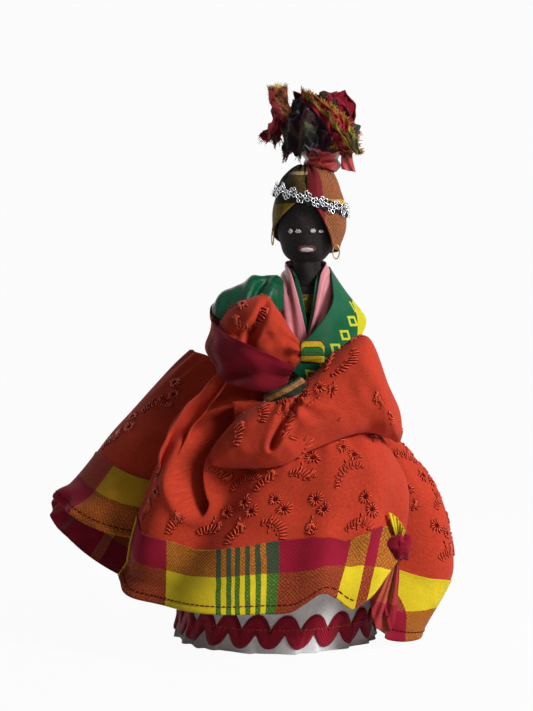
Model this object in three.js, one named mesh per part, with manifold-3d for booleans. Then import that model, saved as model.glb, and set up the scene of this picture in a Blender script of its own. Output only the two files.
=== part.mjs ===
// A standing cloth doll in festive Caribbean dress: a stuffed figure on a card cone, in a
// petticoat, an open gown with plaid borders, full sleeves, ribbons and a tied headwrap.
// Millimetres, +Z up. The doll faces -Y and its base stands on Z = 0, centred on the origin.
// Left and right are the doll's own, so its right arm is at -X.
import * as THREE from "three";
import { mergeVertices } from "three/addons/utils/BufferGeometryUtils.js";
import Module from "manifold-3d";

const wasm = await Module();
wasm.setup();

// Fits and cloth
const CLEARANCE = 0.35; // gap between pieces that lie on each other
const EASE = 0.6; // gap between a piece and the one wrapped round it
const CLOTH = 1.5; // a layer of gown cloth with its turned edges
const RIBBON = 0.9; // satin ribbon
const CARD = 1.4; // the stiff card of the skirt form

// Base, skirt form and petticoat
const BASE_RADIUS = 46;
const BASE_THICKNESS = 2.5;
const DRUM_HEIGHT = 30; // the form rises straight to here, and tapers above
const FORM_HEIGHT = 113;
const FORM_TOP_RADIUS = 13;
const BUST_X = 15.5; // the figure leans this far to its left of the base's centre
const DOWEL_RADIUS = 2.5;
const DOWEL_DEPTH = 37; // in the torso
const PLEATS = 15;
const PLEAT_DEPTH = 0.7;
const RICRAC_WAVES = 19;
const RICRAC_WIDTH = 7;
const RICRAC_SWING = 4.4; // of its centre line, up and down
const RICRAC_HEIGHT = 13.2;
const RICRAC_THICKNESS = 1.2;

// Figure
const TORSO_HEIGHT = 58;
const NECK_RADIUS = 6.8;
const NECK_LENGTH = 16; // from the pivot at the shoulders to the end inside the head
const NECK_SEAT = 5; // of that length, inside the head
const HEAD_HEIGHT = 46;
const HEAD_RADIUS = 14.6;
const WRAP_CLOTH = 1.3;
const WRAP_FULLNESS = 1.8; // the left half of the headwrap stands out further
const TRIM_WIDTH = 4;
const TRIM_THICKNESS = 1.2;
const TRIM_WAVES = 12;
const PAD_THICKNESS = 0.6; // of the eyes and mouth
const HOOP_RADIUS = 3.4;
const HOOP_WIRE = 0.45;
const KNOT_X = 6.5; // the topknot stands to the left of the head's axis
const KNOT_RADIUS = 7;
const KNOT_HEIGHT = 13;
const BINDING_SWELL = 2.2;
const BINDING_DROP = 3.6; // the binding follows the slope of the crown
const TAIL_WIDTH = 7;

// Gown
const WAISTBAND_HEIGHT = 8;
const BODICE_DROP = 8; // its top lies this far below the torso's
const BORDER_WIDTH = 31;
const HEM_X = -6; // the hem is centred to the right of the base, where the train is lifted
const HITCH_TURN = -94; // the train is carried out and up by the right arm, about this turn
const HITCH_SPREAD = 36;
const HITCH_REACH = 36;
const HITCH_DROP = 35; // from the shoulders down to the crest of the carried train
const SASH_WIDTH = 22;
const NECK_RIBBON_WIDTH = 10.5;
const EDGE_RIBBON_WIDTH = 8;
const TRAIN_WIDTH = 23;
const CUFF_CLOTH = 1.2;
const RIGHT_CUFF_LENGTH = 11;
const LEFT_CUFF_LENGTH = 7;
const ARM_RADIUS = 3.2;

const degrees = THREE.MathUtils.degToRad;
const lerp = THREE.MathUtils.lerp;
const at = (x, y, z) => new THREE.Vector3(x, y, z);
const bell = (distance, width) => Math.exp(-((distance / width) ** 2));

const colours = {
  card: 0x9a8468,
  wood: 0xb58c5a,
  white: 0xe6e2e2,
  skin: 0x1a1616,
  orange: 0xc23f28,
  crimson: 0x8a1230,
  madras: 0xb07a2e,
  green: 0x0f5a3c,
  pink: 0xcf8a92,
  red: 0x9c1a26,
  silver: 0xc4c4c8,
  brass: 0xb08d3c,
  thread: 0xe4dedc,
};
const materials = {};
for (const [name, color] of Object.entries(colours)) {
  const metal = ["silver", "brass"].includes(name);
  const satin = ["green", "pink", "red"].includes(name);
  materials[name] = new THREE.MeshStandardMaterial({
    color,
    roughness: metal ? 0.3 : satin ? 0.45 : 0.85,
    metalness: metal ? 0.9 : 0,
  });
}

const figure = new THREE.Group();
const bust = new THREE.Group(); // from the waist, at the top of the skirt form
const shoulders = new THREE.Group(); // from the top of the torso
const head = new THREE.Group(); // from the head's middle
const topknot = new THREE.Group(); // from the crown of the headwrap
bust.position.set(BUST_X, 0, FORM_HEIGHT);
shoulders.position.z = TORSO_HEIGHT;
head.position.z = NECK_LENGTH - NECK_SEAT + HEAD_HEIGHT / 2;
figure.add(bust);
bust.add(shoulders);
shoulders.add(head);
head.add(topknot);

// Solids

function solidFrom(points, faces) {
  let volume = 0;
  for (const [a, b, c] of faces) volume += points[a].dot(points[b].clone().cross(points[c]));
  const outward = volume < 0 ? faces.map(([a, b, c]) => [a, c, b]) : faces;
  const geometry = new THREE.BufferGeometry().setFromPoints(points);
  geometry.setIndex(outward.flat());
  return geometry;
}

// A sheet of cloth. point(u, v) is its outer face, with u running to the right and v down as
// seen from outside, and the inner face lies one thickness behind. A closed sheet is a ring.
function sheet(point, columns, rows, thickness, closed = false) {
  const across = closed ? columns : columns + 1;
  const probe = 1e-3;
  const outer = [];
  const inner = [];
  for (let j = 0; j <= rows; j++) {
    for (let i = 0; i < across; i++) {
      const u = i / columns;
      const v = j / rows;
      const low = closed ? u - probe : Math.max(0, u - probe);
      const high = closed ? u + probe : Math.min(1, u + probe);
      const along = point(high, v).sub(point(low, v));
      const down = point(u, Math.min(1, v + probe)).sub(point(u, Math.max(0, v - probe)));
      const normal = down.cross(along).normalize();
      const place = point(u, v);
      outer.push(place);
      inner.push(place.clone().addScaledVector(normal, -thickness));
    }
  }
  const faces = [];
  const behind = outer.length;
  const index = (i, j) => j * across + (i % across);
  const quad = (a, b, c, d) => faces.push([a, b, c], [a, c, d]);
  for (let j = 0; j < rows; j++) {
    for (let i = 0; i < columns; i++) {
      const [a, b, c, d] = [index(i, j), index(i + 1, j), index(i + 1, j + 1), index(i, j + 1)];
      quad(a, d, c, b);
      quad(a + behind, b + behind, c + behind, d + behind);
      if (j === 0) quad(a, b, b + behind, a + behind);
      if (j === rows - 1) quad(c, d, d + behind, c + behind);
      if (!closed && i === 0) quad(d, a, a + behind, d + behind);
      if (!closed && i === columns - 1) quad(b, c, c + behind, b + behind);
    }
  }
  return solidFrom([...outer, ...inner], faces);
}

// A stuffed form through rings of points, closed at both ends.
function loft(rings) {
  const count = rings[0].length;
  const points = rings.flat();
  const faces = [];
  for (let j = 0; j + 1 < rings.length; j++) {
    for (let i = 0; i < count; i++) {
      const a = j * count + i;
      const b = j * count + ((i + 1) % count);
      faces.push([a, b, b + count], [a, b + count, a + count]);
    }
  }
  const middle = (ring) => ring.reduce((sum, p) => sum.add(p), at(0, 0, 0)).divideScalar(count);
  const first = points.push(middle(rings[0])) - 1;
  const last = points.push(middle(rings[rings.length - 1])) - 1;
  const end = (rings.length - 1) * count;
  for (let i = 0; i < count; i++) {
    faces.push([first, (i + 1) % count, i]);
    faces.push([last, end + i, end + ((i + 1) % count)]);
  }
  return solidFrom(points, faces);
}

// A stuffed limb of round section along a line of points, with rounded ends.
function limb(path, radius, sections, sides) {
  const curve = new THREE.CatmullRomCurve3(path);
  const frames = curve.computeFrenetFrames(sections, false);
  const rings = [];
  for (let j = 0; j <= sections; j++) {
    const t = j / sections;
    const full = radius * Math.pow(Math.max(0.1, 1 - Math.pow(Math.abs(2 * t - 1), 8)), 0.5);
    const ring = [];
    for (let i = 0; i < sides; i++) {
      const angle = (2 * Math.PI * i) / sides;
      const place = curve.getPointAt(t);
      place.addScaledVector(frames.normals[j], full * Math.cos(angle));
      ring.push(place.addScaledVector(frames.binormals[j], full * Math.sin(angle)));
    }
    rings.push(ring);
  }
  return loft(rings);
}

// A ribbon laid along stations of [centre, direction of its width], curved smoothly.
function ribbon(stations, width, thickness, columns, rows = 2) {
  const centre = new THREE.CatmullRomCurve3(stations.map(([place]) => place));
  const sideways = new THREE.CatmullRomCurve3(stations.map(([, side]) => side.clone().normalize()));
  const lay = (u, v) =>
    centre.getPoint(u).addScaledVector(sideways.getPoint(u).normalize(), (0.5 - v) * width);
  return sheet(lay, columns, rows, thickness);
}

// Turned solids: a profile of [radius, height] about the Z axis.
function turned(profile, segments) {
  const points = profile.map(([radius, height]) => new THREE.Vector2(radius, height));
  return new THREE.LatheGeometry(points, segments).rotateX(Math.PI / 2);
}

// Cuts that leave a clearance

function merged(geometry) {
  const bare = geometry.clone();
  bare.deleteAttribute("normal");
  bare.deleteAttribute("uv");
  return mergeVertices(bare, 1e-4);
}

function toSolid(geometry) {
  const closed = merged(geometry);
  const corners = closed.index.array;
  const kept = [];
  for (let i = 0; i < corners.length; i += 3) {
    const [a, b, c] = [corners[i], corners[i + 1], corners[i + 2]];
    if (a !== b && b !== c && c !== a) kept.push(a, b, c);
  }
  const vertProperties = new Float32Array(closed.attributes.position.array);
  const triVerts = new Uint32Array(kept);
  return new wasm.Manifold(new wasm.Mesh({ numProp: 3, vertProperties, triVerts }));
}

function toGeometry(solid) {
  const mesh = solid.getMesh();
  const geometry = new THREE.BufferGeometry();
  geometry.setAttribute("position", new THREE.BufferAttribute(mesh.vertProperties, 3));
  geometry.setIndex(new THREE.BufferAttribute(mesh.triVerts, 1));
  return geometry;
}

// The solid grown so that every face moves out by the same amount, edges included.
function swollen(geometry, by) {
  const grown = merged(geometry);
  const place = grown.attributes.position;
  const corner = (i) => at(0, 0, 0).fromBufferAttribute(place, i);
  const facings = Array.from({ length: place.count }, () => []);
  for (let i = 0; i < grown.index.count; i += 3) {
    const [a, b, c] = [0, 1, 2].map((k) => grown.index.getX(i + k));
    const facing = corner(b).sub(corner(a)).cross(corner(c).sub(corner(a)));
    if (facing.length() < 1e-9) continue;
    facing.normalize();
    for (const k of [a, b, c]) {
      if (!facings[k].some((other) => other.dot(facing) > 0.97)) facings[k].push(facing);
    }
  }
  facings.forEach((around, i) => {
    const outward = around.reduce((sum, facing) => sum.add(facing), at(0, 0, 0)).normalize();
    const least = Math.min(...around.map((facing) => facing.dot(outward)));
    const moved = corner(i).addScaledVector(outward, by / Math.max(0.5, least));
    place.setXYZ(i, moved.x, moved.y, moved.z);
  });
  return grown;
}

// Takes the neighbours, grown by a gap, out of a piece, and keeps its main body.
function clearBy(gap, piece, ...neighbours) {
  piece.updateWorldMatrix(true, false);
  const toPiece = piece.matrixWorld.clone().invert();
  let solid = toSolid(piece.geometry);
  for (const neighbour of neighbours) {
    neighbour.updateWorldMatrix(true, false);
    const placed = neighbour.geometry.clone().applyMatrix4(neighbour.matrixWorld);
    solid = solid.subtract(toSolid(swollen(placed.applyMatrix4(toPiece), gap)));
  }
  const bodies = solid.simplify(CLEARANCE / 8).decompose();
  bodies.sort((a, b) => b.volume() - a.volume());
  piece.geometry = toGeometry(bodies[0]);
  return piece;
}

function clear(piece, ...neighbours) {
  return clearBy(CLEARANCE, piece, ...neighbours);
}

function piece(name, geometry, material, parent = figure) {
  const mesh = new THREE.Mesh(geometry, material);
  mesh.name = name;
  parent.add(mesh);
  return mesh;
}

// Base, skirt form and dowel

// The form is a drum that tapers above, leaning over to the figure's place.
function formRadius(height) {
  const t = Math.max(0, (height - DRUM_HEIGHT) / (FORM_HEIGHT - DRUM_HEIGHT));
  return lerp(BASE_RADIUS, FORM_TOP_RADIUS, t);
}

function formCentre(height) {
  return BUST_X * Math.max(0, (height - BASE_THICKNESS) / (FORM_HEIGHT - BASE_THICKNESS));
}

function roundTheForm(turn, height, out) {
  const radius = formRadius(height) + out;
  return at(formCentre(height) + radius * Math.sin(turn), -radius * Math.cos(turn), height);
}

const baseDisc = piece(
  "base_disc",
  turned([[0, 0], [BASE_RADIUS, 0], [BASE_RADIUS, BASE_THICKNESS], [0, BASE_THICKNESS]], 48),
  materials.card,
);

// The height v of the way down a list of heights, each step taking an equal share.
function stepped(heights, v) {
  const place = v * (heights.length - 1);
  const row = Math.min(heights.length - 2, Math.floor(place));
  return lerp(heights[row], heights[row + 1], place - row);
}

const formHeights = [FORM_HEIGHT, DRUM_HEIGHT, BASE_THICKNESS + CLEARANCE];
piece(
  "skirt_form",
  sheet((u, v) => roundTheForm(2 * Math.PI * u, stepped(formHeights, v), 0), 30, 2, CARD, true),
  materials.card,
);

const dowelFoot = at(0, 0, BASE_THICKNESS + CLEARANCE);
const dowelHead = at(BUST_X, 0, FORM_HEIGHT + DOWEL_DEPTH);
const dowelRun = dowelHead.clone().sub(dowelFoot);
const dowel = piece(
  "spine_dowel",
  new THREE.CylinderGeometry(DOWEL_RADIUS, DOWEL_RADIUS, dowelRun.length(), 12).rotateX(Math.PI / 2),
  materials.wood,
);
dowel.quaternion.setFromUnitVectors(at(0, 0, 1), dowelRun.clone().normalize());
dowel.position.copy(dowelFoot).addScaledVector(dowelRun, 0.5);
dowel.position.z += DOWEL_RADIUS * (dowelRun.x / dowelRun.length());

// Petticoat with its zigzag braid

const PETTICOAT_FOOT = CLEARANCE;
const petticoatOut = EASE + CLOTH;

function petticoatPoint(u, height) {
  const turn = 2 * Math.PI * u;
  const low = Math.max(0, 1 - height / DRUM_HEIGHT);
  const pleat = PLEAT_DEPTH * low * (Math.sin(PLEATS * turn) + 0.4 * Math.sin((PLEATS + 8) * turn) + 1.4);
  return roundTheForm(turn, height, petticoatOut + pleat);
}

const petticoatHeights = [FORM_HEIGHT - CLEARANCE, DRUM_HEIGHT, DRUM_HEIGHT / 2, PETTICOAT_FOOT];
const petticoat = piece(
  "petticoat",
  sheet((u, v) => petticoatPoint(u, stepped(petticoatHeights, v)), 45, 3, CLOTH, true),
  materials.white,
);

const ricracRadius = BASE_RADIUS + petticoatOut + 2 * PLEAT_DEPTH + CLEARANCE + RICRAC_THICKNESS;

function ricracPoint(u, v) {
  const phase = 2 * Math.PI * u * RICRAC_WAVES;
  const slope = (RICRAC_SWING * RICRAC_WAVES * Math.cos(phase)) / ricracRadius;
  const across = ((0.5 - v) * RICRAC_WIDTH) / Math.hypot(1, slope);
  const turn = 2 * Math.PI * u - (slope * across) / ricracRadius;
  const height = RICRAC_HEIGHT + RICRAC_SWING * Math.sin(phase) + across;
  const lean = formCentre(height);
  return at(lean + ricracRadius * Math.sin(turn), -ricracRadius * Math.cos(turn), height);
}

const ricrac = piece(
  "ricrac_braid",
  sheet(ricracPoint, RICRAC_WAVES * 5, 1, RICRAC_THICKNESS, true),
  materials.crimson,
);

// Stuffed torso, bodice and waistband

const torsoStations = [
  { height: CLEARANCE, wide: 15, deep: 11.5 },
  { height: 0.3 * TORSO_HEIGHT, wide: 16, deep: 12 },
  { height: 0.6 * TORSO_HEIGHT, wide: 18.5, deep: 12.5 },
  { height: 0.81 * TORSO_HEIGHT, wide: 17.5, deep: 11.5 },
  { height: 0.95 * TORSO_HEIGHT, wide: 11.5, deep: 9.5 },
  { height: TORSO_HEIGHT, wide: 8, deep: 8 },
];

function torsoPoint(turn, height, out) {
  let row = 0;
  while (row + 2 < torsoStations.length && torsoStations[row + 1].height < height) row++;
  const low = torsoStations[row];
  const high = torsoStations[row + 1];
  const t = THREE.MathUtils.smoothstep(height, low.height, high.height);
  const wide = lerp(low.wide, high.wide, t) + out;
  const deep = lerp(low.deep, high.deep, t) + out;
  return at(wide * Math.sin(turn), -deep * Math.cos(turn), height);
}

function torsoRing(height) {
  return Array.from({ length: 20 }, (_, i) => torsoPoint((2 * Math.PI * i) / 20, height, 0));
}

const torsoRows = 7;
const torso = piece(
  "torso",
  loft(Array.from({ length: torsoRows + 1 }, (_, j) => torsoRing(lerp(CLEARANCE, TORSO_HEIGHT, j / torsoRows)))),
  materials.skin,
  bust,
);

const bodiceTop = TORSO_HEIGHT - BODICE_DROP;
const bodice = piece(
  "bodice",
  sheet(
    (u, v) => torsoPoint(2 * Math.PI * u, lerp(bodiceTop, CLEARANCE, v), EASE + CLOTH),
    20, 6, CLOTH, true,
  ),
  materials.madras,
  bust,
);

const waistbandOut = 2 * (EASE + CLOTH);
const waistband = piece(
  "waistband",
  sheet(
    (u, v) => torsoPoint(2 * Math.PI * u, CLEARANCE + WAISTBAND_HEIGHT * (1 - v), waistbandOut),
    20, 2, CLOTH, true,
  ),
  materials.orange,
  bust,
);

// Neck and head

const neckBall = Array.from({ length: 6 }, (_, i) => {
  const turn = degrees(-90 + 16 * i);
  return [NECK_RADIUS * Math.cos(turn), NECK_RADIUS * Math.sin(turn)];
});
neckBall[0][0] = 0;
const neck = piece(
  "neck",
  turned([...neckBall, [NECK_RADIUS, 0], [NECK_RADIUS, NECK_LENGTH], [0, NECK_LENGTH]], 20),
  materials.skin,
  shoulders,
);
neck.position.z = CLEARANCE;
clear(torso, dowel, neck);

// The head is an egg with a blunt chin. turn runs round from the face, and level from -1 at
// the chin to 1 at the crown.
function headPoint(turn, level, out) {
  const blunt = level < 0 ? 2.6 : 2.1;
  const radius = (HEAD_RADIUS + out) * Math.pow(Math.max(0, 1 - Math.abs(level) ** blunt), 1 / blunt);
  return at(radius * Math.sin(turn), -radius * Math.cos(turn), (HEAD_HEIGHT / 2 + out) * level);
}

const headLevels = Array.from({ length: 13 }, (_, j) => -Math.cos((Math.PI * j) / 12));
const skull = piece(
  "head",
  turned(
    headLevels.map((level) => {
      const place = headPoint(0, level, 0);
      return [Math.abs(level) === 1 ? 0 : -place.y, place.z];
    }),
    24,
  ),
  materials.skin,
  head,
);
clear(skull, neck);

// Headwrap: two folded panels that meet over the brow and part down the sides of the face

const BROW_LEVEL = 0.44;
const NAPE_LEVEL = -0.72;
const wrapPanels = [
  { name: "headwrap_right", side: -1, temple: 73, templeLevel: -0.43, fullness: 0 },
  { name: "headwrap_left", side: 1, temple: 54, templeLevel: -0.82, fullness: WRAP_FULLNESS },
];
const CROWN_LEVEL = 0.985;
const wrapOut = EASE + 0.2 + WRAP_CLOTH;
const frontGap = degrees(1.6);

function wrapEdge(turn, panel) {
  const temple = degrees(panel.temple);
  if (turn < temple) return lerp(BROW_LEVEL, panel.templeLevel, turn / temple);
  return lerp(panel.templeLevel, NAPE_LEVEL, Math.sqrt((turn - temple) / (Math.PI - temple)));
}

for (const panel of wrapPanels) {
  const wrapPoint = (u, v) => {
    const share = panel.side > 0 ? u : 1 - u;
    const turn = lerp(frontGap, Math.PI - frontGap, share);
    const edge = wrapEdge(turn, panel);
    const rise = Math.acos(-CROWN_LEVEL) - Math.acos(-edge);
    const out = wrapOut + panel.fullness * Math.sin(turn);
    return headPoint(panel.side * turn, -Math.cos(Math.acos(-CROWN_LEVEL) - rise * v), out);
  };
  piece(panel.name, sheet(wrapPoint, 12, 7, WRAP_CLOTH), materials.madras, head);
}
const wraps = wrapPanels.map((panel) => figure.getObjectByName(panel.name));

// Silvery gimp braid round the headwrap, lower on the left

const TRIM_TILT = 0.2;
const TRIM_LEVEL = 0.3;

function trimPoint(u, v) {
  const turn = 2 * Math.PI * u;
  const wave = 0.5 * Math.sin(TRIM_WAVES * turn);
  const height = (HEAD_HEIGHT / 2) * (TRIM_LEVEL - TRIM_TILT * Math.sin(turn)) + wave;
  const level = (height + (0.5 - v) * TRIM_WIDTH) / (HEAD_HEIGHT / 2);
  const fullness = WRAP_FULLNESS * Math.max(0, Math.sin(turn));
  return headPoint(turn, level, wrapOut + fullness + EASE + TRIM_THICKNESS);
}

piece("silver_trim", sheet(trimPoint, 48, 1, TRIM_THICKNESS, true), materials.silver, head);

// Stitched eyes and mouth, each a small pad on the face

const features = [
  { name: "right_eye_outer", turn: -33, level: -0.31, wide: 2.2, tall: 2 },
  { name: "right_eye_inner", turn: -16, level: -0.31, wide: 2.2, tall: 1.8 },
  { name: "left_eye_inner", turn: 10, level: -0.3, wide: 2, tall: 1.9 },
  { name: "left_eye_outer", turn: 25, level: -0.31, wide: 1.8, tall: 1.9 },
  { name: "mouth", turn: -1, level: -0.68, wide: 8, tall: 3.2 },
];
for (const { name, turn, level, wide, tall } of features) {
  const padPoint = (u, v) => {
    const across = (u - 0.5) * wide * Math.sqrt(1 - (2 * v - 1) ** 2 * 0.6);
    const up = (0.5 - v) * tall;
    const round = degrees(turn) + across / HEAD_RADIUS;
    return headPoint(round, level + up / (HEAD_HEIGHT / 2), CLEARANCE + PAD_THICKNESS);
  };
  clear(piece(name, sheet(padPoint, 6, 4, PAD_THICKNESS), materials.thread, head), skull);
}

// Topknot: the cloth's gathered ends, bound with ribbon, opening into crumpled leaves

topknot.position.set(KNOT_X, 0, HEAD_HEIGHT / 2 + wrapOut);
const stem = piece(
  "topknot_stem",
  turned([[0, -4], [KNOT_RADIUS, -4], [KNOT_RADIUS, KNOT_HEIGHT], [0, KNOT_HEIGHT]], 18),
  materials.madras,
  topknot,
);
clear(stem, skull, ...wraps);

const binding = piece(
  "topknot_ribbon",
  sheet((u, v) => {
    const turn = 2 * Math.PI * u;
    const radius = KNOT_RADIUS + CLEARANCE + RIBBON + BINDING_SWELL * Math.sin(Math.PI * v);
    const foot = CLEARANCE - BINDING_DROP * (0.5 + 0.5 * Math.sin(turn));
    return at(radius * Math.sin(turn), -radius * Math.cos(turn), lerp(KNOT_HEIGHT, foot, v));
  }, 18, 4, RIBBON, true),
  materials.red,
  topknot,
);

const tailTop = at(KNOT_RADIUS + RIBBON + BINDING_SWELL + CLEARANCE, -2.5, KNOT_HEIGHT / 2);
const ribbonTail = piece(
  "topknot_ribbon_tail",
  ribbon(
    [
      [tailTop, at(0, 0.4, 1)],
      [tailTop.clone().add(at(2.2, -0.6, -1)), at(0.2, 0.4, 1)],
      [tailTop.clone().add(at(4.4, -0.8, -1.2)), at(0.4, 0.2, 1)],
    ],
    TAIL_WIDTH, RIBBON, 5, 1,
  ),
  materials.red,
  topknot,
);
clear(ribbonTail, binding);

// Each leaf rises from the stem, turns over and hangs, as far out, up and down as its own sizes.
const tuftLeaves = [
  { turn: 2, spread: 62, reach: 18, top: 22, hang: 7 },
  { turn: 46, spread: 54, reach: 21, top: 22, hang: 0 },
  { turn: 92, spread: 56, reach: 20, top: 21, hang: -8 },
  { turn: 140, spread: 62, reach: 18, top: 23, hang: 6 },
  { turn: 190, spread: 62, reach: 20, top: 22, hang: 4 },
  { turn: 236, spread: 54, reach: 21, top: 20, hang: -3 },
  { turn: 274, spread: 40, reach: 22, top: 19, hang: 27 },
  { turn: 314, spread: 54, reach: 22, top: 18, hang: -8 },
];

function leafGeometry({ turn, spread, reach, top, hang }) {
  const rise = new THREE.CatmullRomCurve3([
    at(KNOT_RADIUS * 0.35, 0, KNOT_HEIGHT + CLEARANCE),
    at(KNOT_RADIUS * 0.8, 0, KNOT_HEIGHT + 0.6 * top),
    at(reach * 0.6, 0, KNOT_HEIGHT + top),
    at(reach * 0.93, 0, KNOT_HEIGHT + lerp(top, hang, 0.45)),
    at(reach, 0, KNOT_HEIGHT + hang),
  ]);
  return sheet((u, v) => {
    const across = degrees(spread) * (u - 0.5);
    const ruffle = 1.5 * v * Math.sin(9 * across + turn);
    const place = rise.getPoint(v);
    const angle = degrees(turn) + across;
    const radius = place.x + ruffle;
    return at(radius * Math.sin(angle), -radius * Math.cos(angle), place.z + ruffle);
  }, 4, 5, CLOTH);
}

const leaves = [];
tuftLeaves.forEach((sizes, k) => {
  const leaf = piece(`tuft_leaf_${k + 1}`, leafGeometry(sizes), materials.madras, topknot);
  leaves.push(clear(leaf, stem, binding, ribbonTail, ...leaves));
});

// Hoop earrings, hung from the headwrap's lower edges

const hoops = [
  { name: "right_earring", turn: -84, level: -0.27, out: 0, swing: 70 },
  { name: "left_earring", turn: 62, level: -0.6, out: WRAP_FULLNESS, swing: 60 },
];
for (const { name, turn, level, out, swing } of hoops) {
  const hoop = piece(name, new THREE.TorusGeometry(HOOP_RADIUS, HOOP_WIRE, 5, 16), materials.brass, head);
  hoop.position.copy(headPoint(degrees(turn), level, wrapOut + out + CLEARANCE));
  hoop.position.z -= HOOP_RADIUS;
  hoop.rotation.y = degrees(swing);
  clear(hoop, skull, ...wraps);
}

// Ribbons at the neck

const outFromNeck = NECK_RADIUS + 3.4;
const neckRibbonStations = [
  [at(-3.5, -22, -29), at(1, 0, 0.25)],
  [at(-6.5, -17.5, -13), at(1, -0.25, 0.25)],
  [at(-outFromNeck - 1, -7.5, 2), at(0.75, -0.1, 0.7)],
  [at(-outFromNeck - 0.5, 4, 7), at(0.25, 0, 1)],
  [at(0, outFromNeck + 1.5, 8), at(0, 0, 1)],
  [at(outFromNeck + 0.5, 4, 7), at(-0.25, 0, 1)],
  [at(outFromNeck + 1, -7.5, 2), at(-0.75, -0.1, 0.7)],
  [at(8, -17.5, -13), at(-1, -0.25, 0.25)],
  [at(4.5, -22, -27), at(-1, 0, 0.25)],
];
const edgeRibbon = piece(
  "edge_ribbon",
  ribbon(
    neckRibbonStations.map(([place, side]) => [place.clone().multiply(at(0.8, 0.92, 1)), side]),
    EDGE_RIBBON_WIDTH, RIBBON, 24,
  ),
  materials.green,
  shoulders,
);
const neckRibbon = piece(
  "neck_ribbon",
  ribbon(neckRibbonStations, NECK_RIBBON_WIDTH, RIBBON, 24),
  materials.pink,
  shoulders,
);
clear(edgeRibbon, torso, bodice);
clear(neckRibbon, torso, bodice, edgeRibbon);

// Sash behind the neck, over the left shoulder and down across the breast, with a puffed loop
// of its other end standing on the right arm

const sash = piece(
  "sash",
  ribbon(
    [
      [at(-19, 3, -2), at(0.1, 0.5, 0.8)],
      [at(0, 15, -3), at(0, 0.1, 1)],
      [at(11, 9, 0), at(-0.3, 0.5, 0.8)],
      [at(17, -5, -3), at(-0.6, 0.3, 0.75)],
      [at(20, -17, -13), at(-0.72, -0.38, 0.58)],
      [at(10.5, -25, -28), at(-0.85, -0.2, 0.6)],
      [at(-4, -29, -43), at(-0.75, -0.1, 0.7)],
    ],
    SASH_WIDTH, RIBBON, 24,
  ),
  materials.green,
  shoulders,
);
clearBy(EASE, sash, torso, bodice, neckRibbon, edgeRibbon, waistband);

const sashPuff = piece(
  "sash_puff",
  ribbon(
    [
      [at(-46, -17, -21), at(0.45, 0.4, 0.8)],
      [at(-44, -19, -15), at(0.55, 0.5, 0.65)],
      [at(-38, -20, -8), at(0.45, 0.65, 0.6)],
      [at(-29, -17, -3), at(0.3, 0.75, 0.55)],
      [at(-17.5, -11.5, -1), at(0.1, 0.75, 0.6)],
    ],
    SASH_WIDTH, RIBBON, 12,
  ),
  materials.green,
  shoulders,
);
clearBy(EASE, sashPuff, torso, bodice, neckRibbon, edgeRibbon, sash);

// Gown panels

const gownOut = waistbandOut + EASE + CLOTH;

// Each station is [turn in degrees from the front towards the left arm, hem radius, hem
// height, outward swell of the middle, lift of the middle].
const frontHem = [
  [-57, 78, 29, 9, 0],
  [-30, 80, 26, 12, 0],
  [-4, 80, 25, 12, 0],
  [10, 79, 29, 12, 0],
  [20, 78, 38, 12, 0],
  [30, 78, 36, 14, 0],
  [42, 79, 33, 16, 0],
  [82, 79, 33, 16, 0],
];
const roundHem = [
  [-325, 66, 15, 6, 0],
  [-304, 78, 8, 16, -6],
  [-285, 82, 6, 38, -8],
  [-265, 93, 16, 45, -10],
  [-230, 88, 12, 22, -4],
  [-180, 88, 11, 14, 0],
  [-130, 96, 26, 2, 4],
  [-105, 103, 48, 0, 8],
  [-88, 103, 66, 0, 10],
  [-72, 90, 61, 0, 6],
  [-55, 70, 50, 0, 0],
  [-35, 60, 50, 0, 0],
];

// A smooth curve through the stations' values at any turn.
function hemAt(stations, turn) {
  let row = 0;
  while (row + 2 < stations.length && stations[row + 1][0] < turn) row++;
  const pick = (k) => stations[THREE.MathUtils.clamp(k, 0, stations.length - 1)];
  const [before, from, to, after] = [pick(row - 1), pick(row), pick(row + 1), pick(row + 2)];
  const t = (turn - from[0]) / (to[0] - from[0]);
  return from.map((value, k) => {
    const leave = ((to[k] - before[k]) / Math.max(1, to[0] - before[0])) * (to[0] - from[0]);
    const arrive = ((after[k] - value) / Math.max(1, after[0] - from[0])) * (to[0] - from[0]);
    const a = 2 * value - 2 * to[k] + leave + arrive;
    const b = 3 * (to[k] - value) - 2 * leave - arrive;
    return ((a * t + b) * t + leave) * t + value;
  });
}

// Folds run down from a turn at the waist to a turn at the hem: [waist, hem, width, height at
// the waist, height at the middle, height at the hem].
const frontFolds = [
  [-40, -52, 9, 4, 7, 3],
  [-30, -36, 9, -3, -7, -1],
  [-18, -20, 12, 1, 3, 2],
  [2, 3, 10, -1, -2, -3],
  [16, 20, 9, 1, 2, 2],
  [36, 36, 8, 2, 3, 4],
];
const roundFolds = [
  [-322, -318, 9, 0, 2, 5],
  [-300, -300, 9, -1, -3, -6],
  [-284, -286, 9, 1, 2, 5],
  [-262, -268, 12, -1, -2, -4],
  [-238, -240, 11, 2, 4, 5],
  [-216, -218, 10, -2, -3, -4],
  [-196, -196, 11, 2, 4, 5],
  [-176, -174, 10, -2, -3, -4],
  [-156, -152, 11, 2, 4, 5],
  [-136, -130, 11, -2, -3, -4],
  [-112, -108, 13, 1, 3, 4],
  [-86, -90, 10, -1, -3, -3],
  [-62, -68, 9, 3, 6, 4],
  [-47, -54, 8, -3, -7, -4],
];

function foldHeight(folds, turn, v) {
  let sum = 0;
  for (const [waist, hem, width, top, middle, bottom] of folds) {
    const height = v < 0.5 ? lerp(top, middle, 2 * v) : lerp(middle, bottom, 2 * v - 1);
    sum += height * bell(turn - lerp(waist, hem, v), width);
  }
  return sum;
}

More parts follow.
